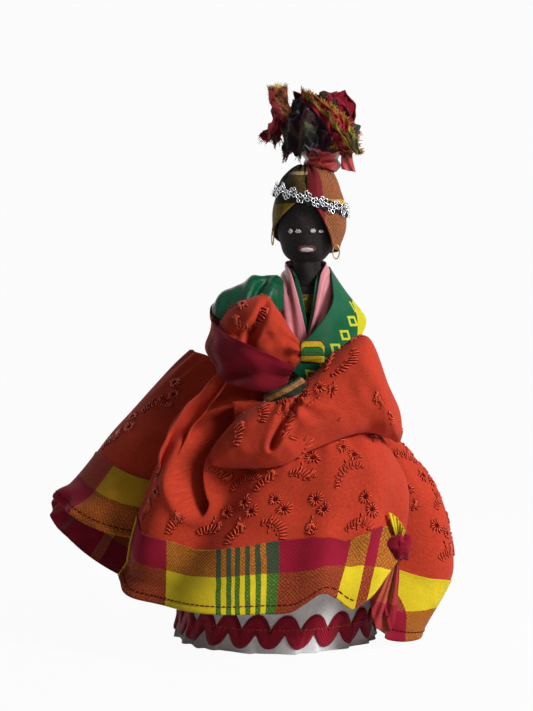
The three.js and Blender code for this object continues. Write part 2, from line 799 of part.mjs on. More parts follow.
// A point of the gown at a turn, v of the way from the waist to the hem.
function gownPoint(shape, turn, v) {
  const [, hemRadius, hemHeight, swell, lift] = hemAt(shape.hem, turn);
  const outward = at(Math.sin(degrees(turn)), -Math.cos(degrees(turn)), 0);
  const hitch = shape.hitched ? bell(turn - HITCH_TURN, HITCH_SPREAD) : 0;
  const waist = torsoPoint(degrees(turn), WAISTBAND_HEIGHT / 2, gownOut + shape.layer).add(bust.position);
  waist.addScaledVector(outward, HITCH_REACH * hitch);
  waist.z += (TORSO_HEIGHT - HITCH_DROP) * hitch;
  const hem = at(HEM_X, 0, hemHeight).addScaledVector(outward, hemRadius);
  const middle = waist.clone().add(hem).divideScalar(2).addScaledVector(outward, swell);
  middle.z += lift;
  const place = new THREE.QuadraticBezierCurve3(waist, middle, hem).getPoint(v);
  return place.addScaledVector(outward, foldHeight(shape.folds, turn, v));
}

// How far down the gown its border starts, so that the border has its width all along.
function borderStart(shape, turn) {
  const steps = 24;
  let length = 0;
  let below = gownPoint(shape, turn, 1);
  for (let i = steps - 1; i > 0; i--) {
    const next = gownPoint(shape, turn, i / steps);
    length += next.distanceTo(below);
    if (length >= BORDER_WIDTH) return i / steps + ((length - BORDER_WIDTH) / next.distanceTo(below)) / steps;
    below = next;
  }
  return 0;
}

const frontShape = { hem: frontHem, folds: frontFolds, layer: EASE + CLOTH, hitched: false };
const roundShape = { hem: roundHem, folds: roundFolds, layer: 0, hitched: true };
const SEAM_GAP = 0.25; // degrees either side of a seam between two panels
const FRONT_LEFT_EDGE = [78, 40]; // the front panel's left edge swings in from waist to hem
const panels = [
  { name: "front", shape: frontShape, from: [-57, -57], to: FRONT_LEFT_EDGE, columns: 18 },
  { name: "right", shape: roundShape, from: [-118, -118], to: [-38, -38], columns: 16 },
  { name: "back", shape: roundShape, from: [-230, -230], to: [-118, -118], columns: 16 },
  { name: "left", shape: roundShape, from: [-322, -322], to: [-230, -230], columns: 14 },
];
const gown = {};
for (const { name, shape, from, to, columns } of panels) {
  const edge = ([waist, hem], v) => lerp(waist, hem, v);
  const turnAt = (u, v) => lerp(edge(from, v) + SEAM_GAP, edge(to, v) - SEAM_GAP, u);
  const place = (u, v) => gownPoint(shape, turnAt(u, v), v);
  const seam = (u) => borderStart(shape, turnAt(u, 1));
  const upper = (u, v) => place(u, lerp(0, seam(u) - 0.004, v));
  const lower = (u, v) => place(u, lerp(seam(u), 1, v));
  gown[name] = piece(`gown_${name}`, sheet(upper, columns, 5, CLOTH), materials.orange);
  gown[`${name}_border`] = piece(`gown_${name}_border`, sheet(lower, columns, 2, CLOTH), materials.crimson);
}
const gownPieces = Object.values(gown);
const roundPieces = gownPieces.filter((mesh) => !mesh.name.startsWith("gown_front"));
for (const mesh of roundPieces) clear(mesh, waistband, petticoat);
clear(gown.front, waistband, petticoat, ...roundPieces);
clear(gown.front_border, petticoat, ricrac, gown.front, ...roundPieces);

// Arms, full sleeves and cuffs

// A sleeve is stuffed out between stations of [x, top, bottom, front, back].
function sleeveGeometry(stations, rings, sides) {
  const pick = (k) => new THREE.CatmullRomCurve3(stations.map((s) => at(s[k], s[0], 0)));
  const [tops, bottoms, fronts, backs] = [1, 2, 3, 4].map(pick);
  return loft(
    Array.from({ length: rings + 1 }, (_, j) => {
      const t = j / rings;
      const x = tops.getPoint(t).y;
      const [top, bottom] = [tops.getPoint(t).x, bottoms.getPoint(t).x];
      const [front, back] = [fronts.getPoint(t).x, backs.getPoint(t).x];
      return Array.from({ length: sides }, (_, i) => {
        const turn = (2 * Math.PI * i) / sides;
        const y = (front + back) / 2 + ((back - front) / 2) * Math.cos(turn);
        return at(x, y, (top + bottom) / 2 + ((top - bottom) / 2) * Math.sin(turn));
      });
    }),
  );
}

// A cuff is a short tube of cloth along an axis, oval in section.
function cuffGeometry(length, wide, tall) {
  return sheet((u, v) => {
    const turn = 2 * Math.PI * u;
    return at(wide * Math.sin(turn), -tall * Math.cos(turn), lerp(length / 2, -length / 2, v));
  }, 20, 2, CUFF_CLOTH, true);
}

const rightWrist = at(-2, -42, -30);
const rightArm = piece(
  "right_arm",
  limb([at(-25, -22, -15), at(-31, -32, -29), at(-18, -38, -31), rightWrist.clone().add(at(5, 0, 0.3))], ARM_RADIUS, 10, 10),
  materials.skin,
  shoulders,
);
const rightSleeve = piece(
  "right_sleeve",
  sleeveGeometry(
    [
      [-44, -21, -31, -29, -20],
      [-38, -11, -39, -40, -17],
      [-28, -5, -43, -46, -16],
      [-20, -4, -44, -48, -17],
      [-13, -11, -41, -47, -25],
      [-8, -21, -38, -46, -34],
      [-5, -26, -34, -44, -38],
    ],
    11, 14,
  ),
  materials.orange,
  shoulders,
);
const rightCuff = piece("right_cuff", cuffGeometry(RIGHT_CUFF_LENGTH, 5.4, 4.9), materials.madras, shoulders);
rightCuff.position.copy(rightWrist).add(at(3.6, 0, 0.2));
rightCuff.rotation.y = Math.PI / 2;

const leftWrist = at(-10, -47, -50);
const leftArm = piece(
  "left_arm",
  limb([at(26, -24, -33), at(32, -36, -57), at(10, -44, -60), leftWrist.clone().add(at(-3, -0.5, 2.5))], ARM_RADIUS, 12, 10),
  materials.skin,
  shoulders,
);
const leftSleeve = piece(
  "left_sleeve",
  sleeveGeometry(
    [
      [44, -65, -73, -36, -26],
      [37, -45, -72, -46, -20],
      [28, -24, -70, -50, -18],
      [14, -29, -70, -54, -22],
      [-2, -44, -76, -58, -28],
      [-12, -50, -81, -60, -32],
      [-24, -53, -82, -60, -34],
      [-36, -62, -81, -58, -38],
      [-48, -73, -80, -54, -42],
      [-54, -77, -80, -50, -45],
    ],
    13, 14,
  ),
  materials.orange,
  shoulders,
);
const leftCuff = piece("left_cuff", cuffGeometry(LEFT_CUFF_LENGTH, 10, 5.4), materials.madras, shoulders);
leftCuff.position.copy(leftWrist).add(at(-0.4, -0.3, 1.4));
leftCuff.rotation.set(degrees(24), degrees(-28), 0);

// Border of the train, carried over the right forearm

const train = piece(
  "train_border",
  ribbon(
    [
      [at(-45, -6, -24), at(0.1, 0.1, 1)],
      [at(-47, -20, -29), at(0.1, 0, 1)],
      [at(-41, -38, -33), at(0.1, -0.15, 1)],
      [at(-29, -49.5, -38), at(0.25, -0.1, 1)],
      [at(-18, -51, -41), at(0.35, 0, 1)],
      [at(-9, -50.5, -42), at(0.5, 0, 0.9)],
    ],
    TRAIN_WIDTH, CLOTH, 18, 3,
  ),
  materials.crimson,
  shoulders,
);

const bodyCloth = [torso, bodice, waistband, sash, neckRibbon, edgeRibbon, ...gownPieces];
clear(rightArm, torso, bodice, sash, sashPuff);
clear(leftArm, torso, bodice, sash, ...gownPieces);
clear(rightCuff, rightArm, sash);
clear(leftCuff, leftArm, sash);
clear(rightSleeve, rightArm, rightCuff, sashPuff, ...bodyCloth);
clear(leftSleeve, leftArm, leftCuff, rightCuff, rightSleeve, rightArm, ...bodyCloth);
clearBy(EASE, train, rightSleeve, rightArm, rightCuff, sashPuff, leftSleeve, leftCuff, leftArm, ...bodyCloth);

export default figure;
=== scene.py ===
import math

import bpy
import numpy as np
from mathutils import Matrix, Vector


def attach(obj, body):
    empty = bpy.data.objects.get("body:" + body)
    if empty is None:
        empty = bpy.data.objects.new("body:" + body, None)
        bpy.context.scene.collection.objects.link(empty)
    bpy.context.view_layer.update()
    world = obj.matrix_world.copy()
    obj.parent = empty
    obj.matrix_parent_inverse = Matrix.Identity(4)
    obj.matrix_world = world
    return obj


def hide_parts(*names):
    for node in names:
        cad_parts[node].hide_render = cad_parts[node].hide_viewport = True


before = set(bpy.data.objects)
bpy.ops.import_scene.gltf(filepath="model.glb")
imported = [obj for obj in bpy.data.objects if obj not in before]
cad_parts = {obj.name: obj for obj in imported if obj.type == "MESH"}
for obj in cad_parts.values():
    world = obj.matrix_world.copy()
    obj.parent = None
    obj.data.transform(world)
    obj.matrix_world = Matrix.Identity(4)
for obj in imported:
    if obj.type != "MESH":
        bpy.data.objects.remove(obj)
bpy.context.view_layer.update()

# A standing cloth doll in festive dress. Sizes are in millimetres until a mesh is made, X to the
# viewer's right, Y away from the viewer, Z up from the table.

MM = 0.001
BUST = np.array([15.5, 0.0, 113.0])  # top of the skirt form, where the torso starts
SHOULDERS = np.array([15.5, 0.0, 171.0])
HEAD = np.array([15.5, 0.0, 205.0])
TOPKNOT = np.array([22.0, 0.0, 230.1])
CLOTH = 0.55  # thickness of the cottons
SATIN, TUFT_CLOTH = 0.4, 0.5
BORDER_WIDTH = 31.0
RIPPLES, RIPPLE_RANGE = 7, 2.6  # how many waves make up a ripple, and what brings their sum to about 1
STITCH_RISE = 0.22  # share of a stitch in which it comes up out of the cloth
THREAD_TIP = 0.45  # share of a thread's radius at its ends


# Small mathematics


def smoothstep(low, high, x):
    t = np.clip((x - low) / (high - low), 0, 1)
    return t * t * (3 - 2 * t)


def bell(x, spread):
    return np.exp(-((x / spread) ** 2))


def lerp(a, b, t):
    return a + (b - a) * t


def spline(rows, count):
    """Rows of values, evenly spread along a smooth curve through the given rows."""
    p = np.array(rows, float)
    p = np.vstack([2 * p[0] - p[1], p, 2 * p[-1] - p[-2]])
    at = np.linspace(0, len(rows) - 1, count)
    k = np.minimum(at.astype(int), len(rows) - 2)
    f = (at - k)[:, None]
    a, b, c, d = p[k], p[k + 1], p[k + 2], p[k + 3]
    return 0.5 * (2 * b + (c - a) * f + (2 * a - 5 * b + 4 * c - d) * f**2 + (3 * b - a - 3 * c + d) * f**3)


def through(stations, turn):
    """Smooth values at each turn between stations, whose first column is the turn."""
    table = np.array(stations, float)
    x, y = table[:, 0], table[:, 1:]
    slope = np.empty_like(y)
    slope[1:-1] = (y[2:] - y[:-2]) / (x[2:] - x[:-2])[:, None]
    slope[0] = (y[1] - y[0]) / (x[1] - x[0])
    slope[-1] = (y[-1] - y[-2]) / (x[-1] - x[-2])
    k = np.clip(np.searchsorted(x, turn) - 1, 0, len(x) - 2)
    span = (x[k + 1] - x[k])[..., None]
    f = np.clip((turn - x[k])[..., None] / span, 0, 1)
    leave, arrive = slope[k] * span, slope[k + 1] * span
    a = 2 * y[k] - 2 * y[k + 1] + leave + arrive
    b = 3 * (y[k + 1] - y[k]) - 2 * leave - arrive
    return ((a * f + b) * f + leave) * f + y[k]


def between(rows, x):
    """Values at each x between rows of [x, value]."""
    return np.interp(x, *np.array(rows, float).T)


def turns(count):
    """Turns all round, in degrees from the front towards the doll's left."""
    return np.linspace(0, 360, count, endpoint=False)


def circle(count):
    """Angles all round, in radians."""
    return np.linspace(0, math.tau, count, endpoint=False)


def around(turn, wide, deep, height):
    """Points at turns from the front of an upright oval."""
    r = np.radians(turn)
    return np.stack([wide * np.sin(r), -deep * np.cos(r), height + 0 * r], -1)


def ripple(seed, a, b, wave):
    """Smooth noise about 0 over two coordinates in millimetres, with waves of about one length."""
    rng = np.random.default_rng(seed)
    total = 0
    for _ in range(RIPPLES):
        angle = rng.uniform(0, math.tau)
        pitch = wave * rng.uniform(0.7, 1.6)
        along = a * math.cos(angle) + b * math.sin(angle)
        total = total + np.sin(math.tau * along / pitch + rng.uniform(0, math.tau))
    return total / RIPPLE_RANGE


def unit(vectors):
    return vectors / np.maximum(np.linalg.norm(vectors, axis=-1, keepdims=True), 1e-9)


def run_length(points, axis):
    """Length run along a grid's rows or columns, from its first point."""
    steps = np.linalg.norm(np.diff(points, axis=axis), axis=-1)
    pad = [(0, 0), (0, 0)]
    pad[axis] = (1, 0)
    return np.pad(np.cumsum(steps, axis=axis), pad)


def outline_distance(x, z, outline):
    """Distance to a closed outline in the front view, negative inside it."""
    ring = spline(list(outline) + [outline[0]], 12 * len(outline))
    nearest = np.full(x.shape, 1e9)
    inside = np.zeros(x.shape, bool)
    for (x0, z0), (x1, z1) in zip(ring[:-1], ring[1:]):
        dx, dz = x1 - x0, z1 - z0
        f = np.clip(((x - x0) * dx + (z - z0) * dz) / (dx * dx + dz * dz + 1e-12), 0, 1)
        nearest = np.minimum(nearest, np.hypot(x - x0 - f * dx, z - z0 - f * dz))
        inside ^= ((z0 > z) != (z1 > z)) & (x < x0 + dx * (z - z0) / (dz if dz else 1e-12))
    return np.where(inside, -nearest, nearest)


def pocket(x, z, outline, depth, wall, rim, rim_width):
    """Height of a hollow fold with a raised rim, seen from the front."""
    d = outline_distance(x, z, outline)
    return rim * bell(d - 0.3 * rim_width, rim_width) - depth * smoothstep(0, wall, -d)


def crease(x, z, start, end, width, height):
    """Height of a straight fold that fades at its two ends, seen from the front."""
    (x0, z0), (x1, z1) = start, end
    run = math.hypot(x1 - x0, z1 - z0)
    along = ((x - x0) * (x1 - x0) + (z - z0) * (z1 - z0)) / run
    across = ((z - z0) * (x1 - x0) - (x - x0) * (z1 - z0)) / run
    fade = smoothstep(-width, width, along) * (1 - smoothstep(run - width, run + width, along))
    return height * fade * bell(across, width)


# Meshes


def object_of(name, vertices, faces, material):
    mesh = bpy.data.meshes.new(name)
    mesh.from_pydata((np.asarray(vertices, float) * MM).tolist(), [], faces)
    mesh.polygons.foreach_set("use_smooth", [True] * len(mesh.polygons))
    mesh.materials.append(material)
    piece = bpy.data.objects.new(name, mesh)
    bpy.context.collection.objects.link(piece)
    return piece


def worn(piece, body, slot, *nodes):
    """Ties a piece to its body and hides the solids it stands for; the slot is not used."""
    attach(piece, body)
    if nodes:
        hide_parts(*nodes)
    return piece


class Cloth:
    """A grid of points, rows downward and columns to the right seen from outside.

    s and t are the cloth's own coordinates, in millimetres, and become its UV map in metres.
    """

    def __init__(self, points, s=None, t=None, closed=False):
        self.points = points
        self.closed = closed
        ring = np.concatenate([points, points[:, :1]], 1) if closed else points
        self.s = np.broadcast_to(run_length(ring, 1) if s is None else s, ring.shape[:2])
        self.t = np.broadcast_to(run_length(ring, 0) if t is None else t, ring.shape[:2])
        self.ring = ring
        self.across = np.gradient(ring, axis=1)
        self.down = np.gradient(ring, axis=0)
        self.normals = unit(np.cross(self.down, self.across))

    def moved(self, height):
        """The same cloth with each point moved out along its normal."""
        height = np.broadcast_to(height, self.ring.shape[:2])
        ring = self.ring + self.normals * height[..., None]
        points = ring[:, :-1] if self.closed else ring
        return Cloth(points, self.s, self.t, self.closed)

    def at(self, s, t):
        """Points, directions along s and t, and normals at places on the cloth."""
        s, t = np.atleast_1d(s).astype(float), np.atleast_1d(t).astype(float)
        all_s, all_t = self.s.ravel(), self.t.ravel()
        near = np.array([np.argmin((all_s - a) ** 2 + (all_t - b) ** 2) for a, b in zip(s, t)])
        across, down = self.across.reshape(-1, 3)[near], self.down.reshape(-1, 3)[near]
        s_u, s_v = (g.ravel()[near] for g in (np.gradient(self.s, axis=1), np.gradient(self.s, axis=0)))
        t_u, t_v = (g.ravel()[near] for g in (np.gradient(self.t, axis=1), np.gradient(self.t, axis=0)))
        turned = s_u * t_v - s_v * t_u
        turned = np.where(np.abs(turned) < 1e-6, 1e-6, turned)
        along_s = (across * t_v[:, None] - down * t_u[:, None]) / turned[:, None]
        along_t = (down * s_u[:, None] - across * s_v[:, None]) / turned[:, None]
        off_s, off_t = s - all_s[near], t - all_t[near]
        columns = np.clip((t_v * off_s - s_v * off_t) / turned, -1, 1)[:, None]
        rows = np.clip((s_u * off_t - t_u * off_s) / turned, -1, 1)[:, None]
        place = self.ring.reshape(-1, 3)[near] + across * columns + down * rows
        return place, along_s, along_t, self.normals.reshape(-1, 3)[near]

    def piece(self, name, material, thickness):
        rows, cols = self.points.shape[:2]
        index = np.arange(rows * cols).reshape(rows, cols)
        if self.closed:
            index = np.hstack([index, index[:, :1]])
        piece = object_of(name, self.points.reshape(-1, 3), quads(index).tolist(), material)
        uv = np.column_stack([quads(self.s).ravel(), quads(self.t).ravel()]) * MM
        piece.data.uv_layers.new(name="cloth").data.foreach_set("uv", uv.ravel())
        solid = piece.modifiers.new("thickness", "SOLIDIFY")
        solid.thickness = thickness * MM
        solid.offset = -1
        solid.use_quality_normals = True
        return piece

    def worn(self, name, finish, slot, *nodes, body="body", thickness=CLOTH):
        """Makes the piece, ties it to its body and hides its solids; the slot is not used."""
        self.made = worn(self.piece(name, materials[finish], thickness), body, slot, *nodes)
        return self

    def sheet(self, held, rests_on, *with_pieces):
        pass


def quads(grid):
    """Four corners of each cell of a grid, counter-clockwise seen from outside."""
    corners = [grid[:-1, :-1], grid[1:, :-1], grid[1:, 1:], grid[:-1, 1:]]
    return np.stack(corners, -1).reshape(-1, 4)


def ribbon(stations, width, columns, rows, taper=None):
    """A strip along stations of [centre, direction of its upper edge], its s along the run."""
    centre = spline([place for place, _ in stations], columns)
    side = unit(spline([unit(np.array(side, float)) for _, side in stations], columns))
    v = np.linspace(0.5, -0.5, rows)[:, None, None]
    share = np.ones(columns) if taper is None else between(taper, np.linspace(0, 1, columns))
    points = centre[None] + side[None] * v * width * share[None, :, None]
    s = run_length(centre[None], 1)
    return Cloth(points, s, (0.5 - v[..., 0]) * width)


def from_shoulders(stations):
    return [(SHOULDERS + np.array(place), side) for place, side in stations]


def tubes(name, paths, radius, finish, slot, *nodes, body="body", sides=5, closed=False):
    """Round threads or wires along point lists, all in one piece that is worn."""
    vertices, faces, start = [], [], 0
    for path in paths:
        path = np.asarray(path, float)
        ahead = np.roll(path, -1, 0) - np.roll(path, 1, 0)
        if not closed:
            ahead[0], ahead[-1] = path[1] - path[0], path[-1] - path[-2]
        ahead = unit(ahead)
        helper = np.where(np.abs(ahead[:, 2:]) > 0.8, [[1.0, 0, 0]], [[0, 0, 1.0]])
        one = unit(np.cross(ahead, helper))
        two = np.cross(ahead, one)
        ring = circle(sides)
        swell = np.full(len(path), float(radius))
        if not closed:
            swell[0] = swell[-1] = THREAD_TIP * radius
        turn = one[:, None] * np.cos(ring)[None, :, None] + two[:, None] * np.sin(ring)[None, :, None]
        vertices.append((path[:, None] + turn * swell[:, None, None]).reshape(-1, 3))
        index = start + np.arange(len(path) * sides).reshape(-1, sides)
        if closed:
            index = np.vstack([index, index[:1]])
        else:
            faces.append(tuple(int(i) for i in index[0][::-1]))
            faces.append(tuple(int(i) for i in index[-1]))
        wrapped = np.hstack([index, index[:, :1]])
        faces.extend(tuple(int(i) for i in q[::-1]) for q in quads(wrapped))
        start += len(path) * sides
    return worn(object_of(name, np.vstack(vertices), faces, materials[finish]), body, slot, *nodes)


def stitch_paths(starts, ends, normals, lift):
    """A low arch of four points for each stitch."""
    return [
        np.array([a, lerp(a, b, STITCH_RISE) + n * lift, lerp(a, b, 1 - STITCH_RISE) + n * lift, b])
        for a, b, n in zip(starts, ends, normals)
    ]


# Materials


def rgb(red, green, blue):
    """A colour as a picture shows it, from 0 to 255, turned to linear light."""
    lit = [c / 255 for c in (red, green, blue)]
    return tuple(c / 12.92 if c <= 0.04045 else ((c + 0.055) / 1.055) ** 2.4 for c in lit) + (1.0,)


ORANGE, ORANGE_DEEP = rgb(196, 64, 38), rgb(168, 44, 28)
CRIMSON, CRIMSON_DEEP = rgb(150, 20, 46), rgb(112, 8, 26)
YELLOW, MUSTARD, TAN = rgb(222, 196, 36), rgb(176, 142, 44), rgb(188, 122, 66)
GREEN, OLIVE, BLACK_GREEN = rgb(14, 106, 54), rgb(74, 74, 50), rgb(38, 40, 32)
TERRACOTTA, WHITE, GREY = rgb(184, 82, 62), rgb(244, 243, 244), rgb(190, 186, 188)
BROWN, OCHRE = rgb(100, 48, 38), rgb(192, 130, 70)
# the last colour here is YELLOW darkened: painted shade for the border of the panel away from the key lamp
PURPLE, BLACK, SHADED_YELLOW = rgb(34, 8, 22), rgb(24, 22, 22), rgb(194, 144, 32)


class Graph:
    """The node tree of a material or of the world, with short ways to add nodes to it."""

    def __init__(self, name, kind=bpy.data.materials):
        self.owner = kind.new(name)
        self.owner.use_nodes = True
        self.tree = self.owner.node_tree
        self.tree.nodes.clear()

    def add(self, kind, settings=None, **inputs):
        node = self.tree.nodes.new("ShaderNode" + kind)
        for key, value in (settings or {}).items():
            setattr(node, key, value)
        for key, value in inputs.items():
            socket = node.inputs[int(key[1:])] if key[1:].isdigit() else node.inputs[key.replace("_", " ")]
            if isinstance(value, bpy.types.NodeSocket):
                self.tree.links.new(value, socket)
            else:
                socket.default_value = value
        return node.outputs

    def math(self, operation, a, b=0.0, c=0.0):
        return self.add("Math", {"operation": operation}, _0=a, _1=b, _2=c)[0]

    def cloth(self):
        """The cloth's s and t, in metres, and both as a vector."""
        vector = self.add("UVMap", {"uv_map": "cloth"})["UV"]
        parts = self.add("SeparateXYZ", Vector=vector)
        return parts["X"], parts["Y"], vector

    def place(self):
        """Places on the piece itself, for what has no cloth of its own."""
        return self.add("TexCoord")["Object"]

    def wave(self, along, pitch):
        """A sine of -1 to 1 with a pitch in millimetres."""
        return self.math("SINE", self.math("MULTIPLY", along, math.tau / (pitch * MM)))

    def weave(self, s, t, pitch):
        """Height of a plain weave, from -1 to 1."""
        return self.math("MULTIPLY", self.wave(s, pitch), self.wave(t, pitch))

    def noise(self, vector, size, detail=2.0, stretch=None):
        """Noise of 0 to 1 with blotches of a size in millimetres."""
        if stretch:
            vector = self.add("VectorMath", {"operation": "MULTIPLY"}, _0=vector, _1=stretch)["Vector"]
        return self.add("TexNoise", Vector=vector, Scale=1 / (size * MM), Detail=detail)["Fac"]

    def ramp(self, fac, stops, interpolation="LINEAR"):
        node = self.tree.nodes.new("ShaderNodeValToRGB")
        node.color_ramp.interpolation = interpolation
        elements = node.color_ramp.elements
        while len(elements) < len(stops):
            elements.new(1.0)
        for element, (place, colour) in zip(elements, stops):
            element.position = place
            element.color = colour
        self.tree.links.new(fac, node.inputs["Fac"])
        return node.outputs["Color"]

    def mix(self, fac, a, b, blend="MIX"):
        return self.add("Mix", {"data_type": "RGBA", "blend_type": blend}, _0=fac, _6=a, _7=b)[2]

    def bump(self, height, distance, strength, normal=None):
        inputs = {"Height": height, "Distance": distance * MM, "Strength": strength}
        if normal is not None:
            inputs["Normal"] = normal
        return self.add("Bump", **inputs)["Normal"]

    def shade(self, **sockets):
        shader = self.add("BsdfPrincipled", **sockets)[0]
        self.add("OutputMaterial", Surface=shader)
        return self.owner

    def mottled(self, colour, vector, size=18.0, light=1.12, dark=0.84):
        """The colour, uneven in large soft blotches and in fine grains."""
        broad = self.noise(vector, size, 3.0)
        fine = self.noise(vector, 0.9, 1.0)
        grain = self.math("MULTIPLY_ADD", fine, 0.35, self.math("MULTIPLY", broad, 0.65))
        shade = self.ramp(grain, [(0.32, (dark,) * 3 + (1,)), (0.68, (light,) * 3 + (1,))])
        return self.mix(1.0, colour, shade, "MULTIPLY")


def cotton(name, colour, second, pitch=0.55, sheen=0.06):
    """Plain woven cotton: two near colours in its threads, slubs and a fine weave."""
    g = Graph(name)
    s, t, vector = g.cloth()
    weave = g.weave(s, t, pitch)
    slub = g.noise(vector, 0.7, 2.0, (1.0, 0.4, 1.0))
    threads = g.math("MULTIPLY_ADD", weave, 0.2, slub)
    base = g.mottled(g.mix(g.ramp(threads, [(0.15, (0, 0, 0, 1)), (0.75, (1, 1, 1, 1))]), second, colour), vector)
    crumple = g.bump(g.noise(vector, 7.0, 3.0), 0.35, 0.5)
    normal = g.bump(threads, 0.06, 0.8, crumple)
    return g.shade(
        Base_Color=base, Roughness=0.88, Sheen_Weight=sheen, Sheen_Roughness=0.5,
        Specular_IOR_Level=0.14, Normal=normal,
    )


def stripes(widths):
    """Ramp stops for stripes of [width, colour], and their whole width."""
    total = sum(width for width, _ in widths)
    stops, run = [], 0.0
    for width, colour in widths:
        stops.append((run / total, colour))
        run += width
    return stops, total


def madras(name, warp, weft, share=0.3):
    """Plaid cotton: stripes along s crossed by stripes along t, both showing in a twill weave."""
    g = Graph(name)
    s, t, vector = g.cloth()
    warp_stops, warp_width = stripes(warp)
    weft_stops, weft_width = stripes(weft)
    wobble = g.math("MULTIPLY_ADD", g.noise(vector, 6.0), 0.0009, -0.00045)
    places = [
        g.math("FRACT", g.math("DIVIDE", g.math("ADD", along, wobble), width * MM))
        for along, width in ((s, warp_width), (t, weft_width))
    ]
    warp_colour = g.ramp(places[0], warp_stops, "CONSTANT")
    weft_colour = g.ramp(places[1], weft_stops, "CONSTANT")
    twill = g.wave(g.math("ADD", s, t), 1.55)
    tweed = g.math("MULTIPLY_ADD", g.weave(s, t, 1.7), 5.0, twill)
    over = g.math("MULTIPLY_ADD", tweed, 0.05, share + 0.05)
    over = g.math("MULTIPLY_ADD", g.math("SUBTRACT", g.noise(vector, 0.75, 1.0), 0.5), 1.3, over)
    over = g.math("MAXIMUM", g.math("MINIMUM", over, 0.96), 0.04)
    plain = g.mix(over, warp_colour, weft_colour)
    warp_part = g.add("Gamma", Color=warp_colour, Gamma=g.math("SUBTRACT", 1.0, over))[0]
    weft_part = g.add("Gamma", Color=weft_colour, Gamma=over)[0]
    threads = g.mix(0.75, plain, g.mix(1.0, warp_part, weft_part, "MULTIPLY"))
    unlike = g.add("RGBToBW", Color=g.mix(1.0, warp_colour, weft_colour, "DIFFERENCE"))[0]
    crossed = g.ramp(unlike, [(0.1, (1, 1, 1, 1)), (0.45, (0.7, 0.6, 0.68, 1))])
    threads = g.mix(1.0, threads, crossed, "MULTIPLY")
    base = g.mottled(threads, vector, 12.0, 1.14, 0.8)
    crumple = g.bump(g.noise(vector, 5.0, 3.0), 0.35, 0.5)
    normal = g.bump(g.math("MULTIPLY_ADD", g.weave(s, t, 0.6), 0.8, twill), 0.035, 0.8, crumple)
    return g.shade(
        Base_Color=base, Roughness=0.85, Sheen_Weight=0.06, Sheen_Roughness=0.5,
        Specular_IOR_Level=0.12, Normal=normal,
    )


def satin(name, colour, deep, roughness=0.36, extra=None, gleam=0.28):
    """Satin ribbon: glossy, with fine ribs across it and faint creases."""
    g = Graph(name)
    s, t, vector = g.cloth()
    base = g.mix(g.noise(vector, 5.0, 3.0), deep, colour)
    if extra:
        base = extra(g, s, t, base)
    base = g.mottled(base, vector, 9.0, 1.08, 0.9)
    gloss = g.math("MULTIPLY_ADD", g.noise(vector, 2.5, 2.0), 0.22, roughness - 0.11)
    creases = g.bump(g.noise(vector, 3.5, 3.0, (0.35, 1.0, 1.0)), 0.3, 0.6)
    normal = g.bump(g.wave(s, 0.42), 0.03, 0.7, creases)
    return g.shade(
        Base_Color=base, Roughness=gloss, Specular_IOR_Level=gleam, Sheen_Weight=0.02,
        Sheen_Roughness=0.35, Normal=normal,
    )


def thread(name, colour, deep, roughness=0.5, gleam=0.16):
    """Twisted embroidery thread."""
    g = Graph(name)
    vector = g.place()
    base = g.mix(g.noise(vector, 0.8, 2.0), deep, colour)
    ply = g.add("TexWave", {"bands_direction": "DIAGONAL"}, Vector=vector, Scale=700.0, Distortion=2.0)["Fac"]
    return g.shade(
        Base_Color=base, Roughness=roughness, Specular_IOR_Level=gleam,
        Normal=g.bump(ply, 0.08, 0.6),
    )


def metal(name, colour, deep, roughness):
    g = Graph(name)
    vector = g.place()
    worn_off = g.noise(vector, 1.6, 3.0)
    base = g.mix(worn_off, deep, colour)
    gloss = g.math("MULTIPLY_ADD", g.noise(vector, 0.7, 2.0), 0.25, roughness - 0.1)
    return g.shade(Base_Color=base, Metallic=1.0, Roughness=gloss, Normal=g.bump(worn_off, 0.05, 0.4))


def skin_cloth():
    """Black cotton jersey with a soft bloom and faint grey fluff."""
    g = Graph("skin_cloth")
    vector = g.place()
    fluff = g.noise(vector, 0.7, 4.0)
    base = g.ramp(fluff, [(0.35, rgb(24, 20, 22)), (0.62, rgb(42, 37, 37)), (0.8, rgb(70, 64, 62))])
    knit = g.add("TexVoronoi", Vector=vector, Scale=1 / (0.55 * MM))["Distance"]
    soft = g.bump(g.noise(vector, 4.0, 2.0), 0.3, 0.4)
    return g.shade(
        Base_Color=base, Roughness=0.8, Sheen_Weight=0.06, Sheen_Roughness=0.4, Specular_IOR_Level=0.2,
        Normal=g.bump(knit, 0.1, 0.5, soft),
    )


def braid():
    """Jumbo zigzag braid: ridges that follow its edges, crossed by the plait's fine ticks, with painted shade in the
    grooves and painted light on the ridges.
    """
    g = Graph("crimson_braid")
    s, t, vector = g.cloth()
    ridges = g.wave(t, 1.05)
    ticks = g.wave(g.math("ADD", s, t), 0.8)
    height = g.math("MULTIPLY_ADD", ticks, 0.3, ridges)
    # the colour follows the ridges' height: painted shade in the grooves, painted light on the ridges
    fac = g.math("MULTIPLY_ADD", height, 0.3, 0.5)
    base = g.mottled(g.mix(fac, rgb(124, 4, 30), rgb(200, 16, 58)), vector, 6.0)
    return g.shade(
        Base_Color=base, Roughness=0.6, Sheen_Weight=0.03, Specular_IOR_Level=0.2,
        Normal=g.bump(height, 0.28, 0.9),
    )


def board(name, colour, deep, stretch, size):
    """Grey card or bare wood, with its fibres or grain."""
    g = Graph(name)
    vector = g.place()
    grain = g.noise(vector, size, 5.0, stretch)
    return g.shade(
        Base_Color=g.mix(grain, deep, colour), Roughness=0.85, Specular_IOR_Level=0.3,
        Normal=g.bump(grain, 0.2, 0.4),
    )


LOZENGE_PITCH, LOZENGE_ROW, LOZENGE_START, PATCH_AT, PATCH_EDGE = 8.5, 14.0, 63.0, 62.0, 12.5


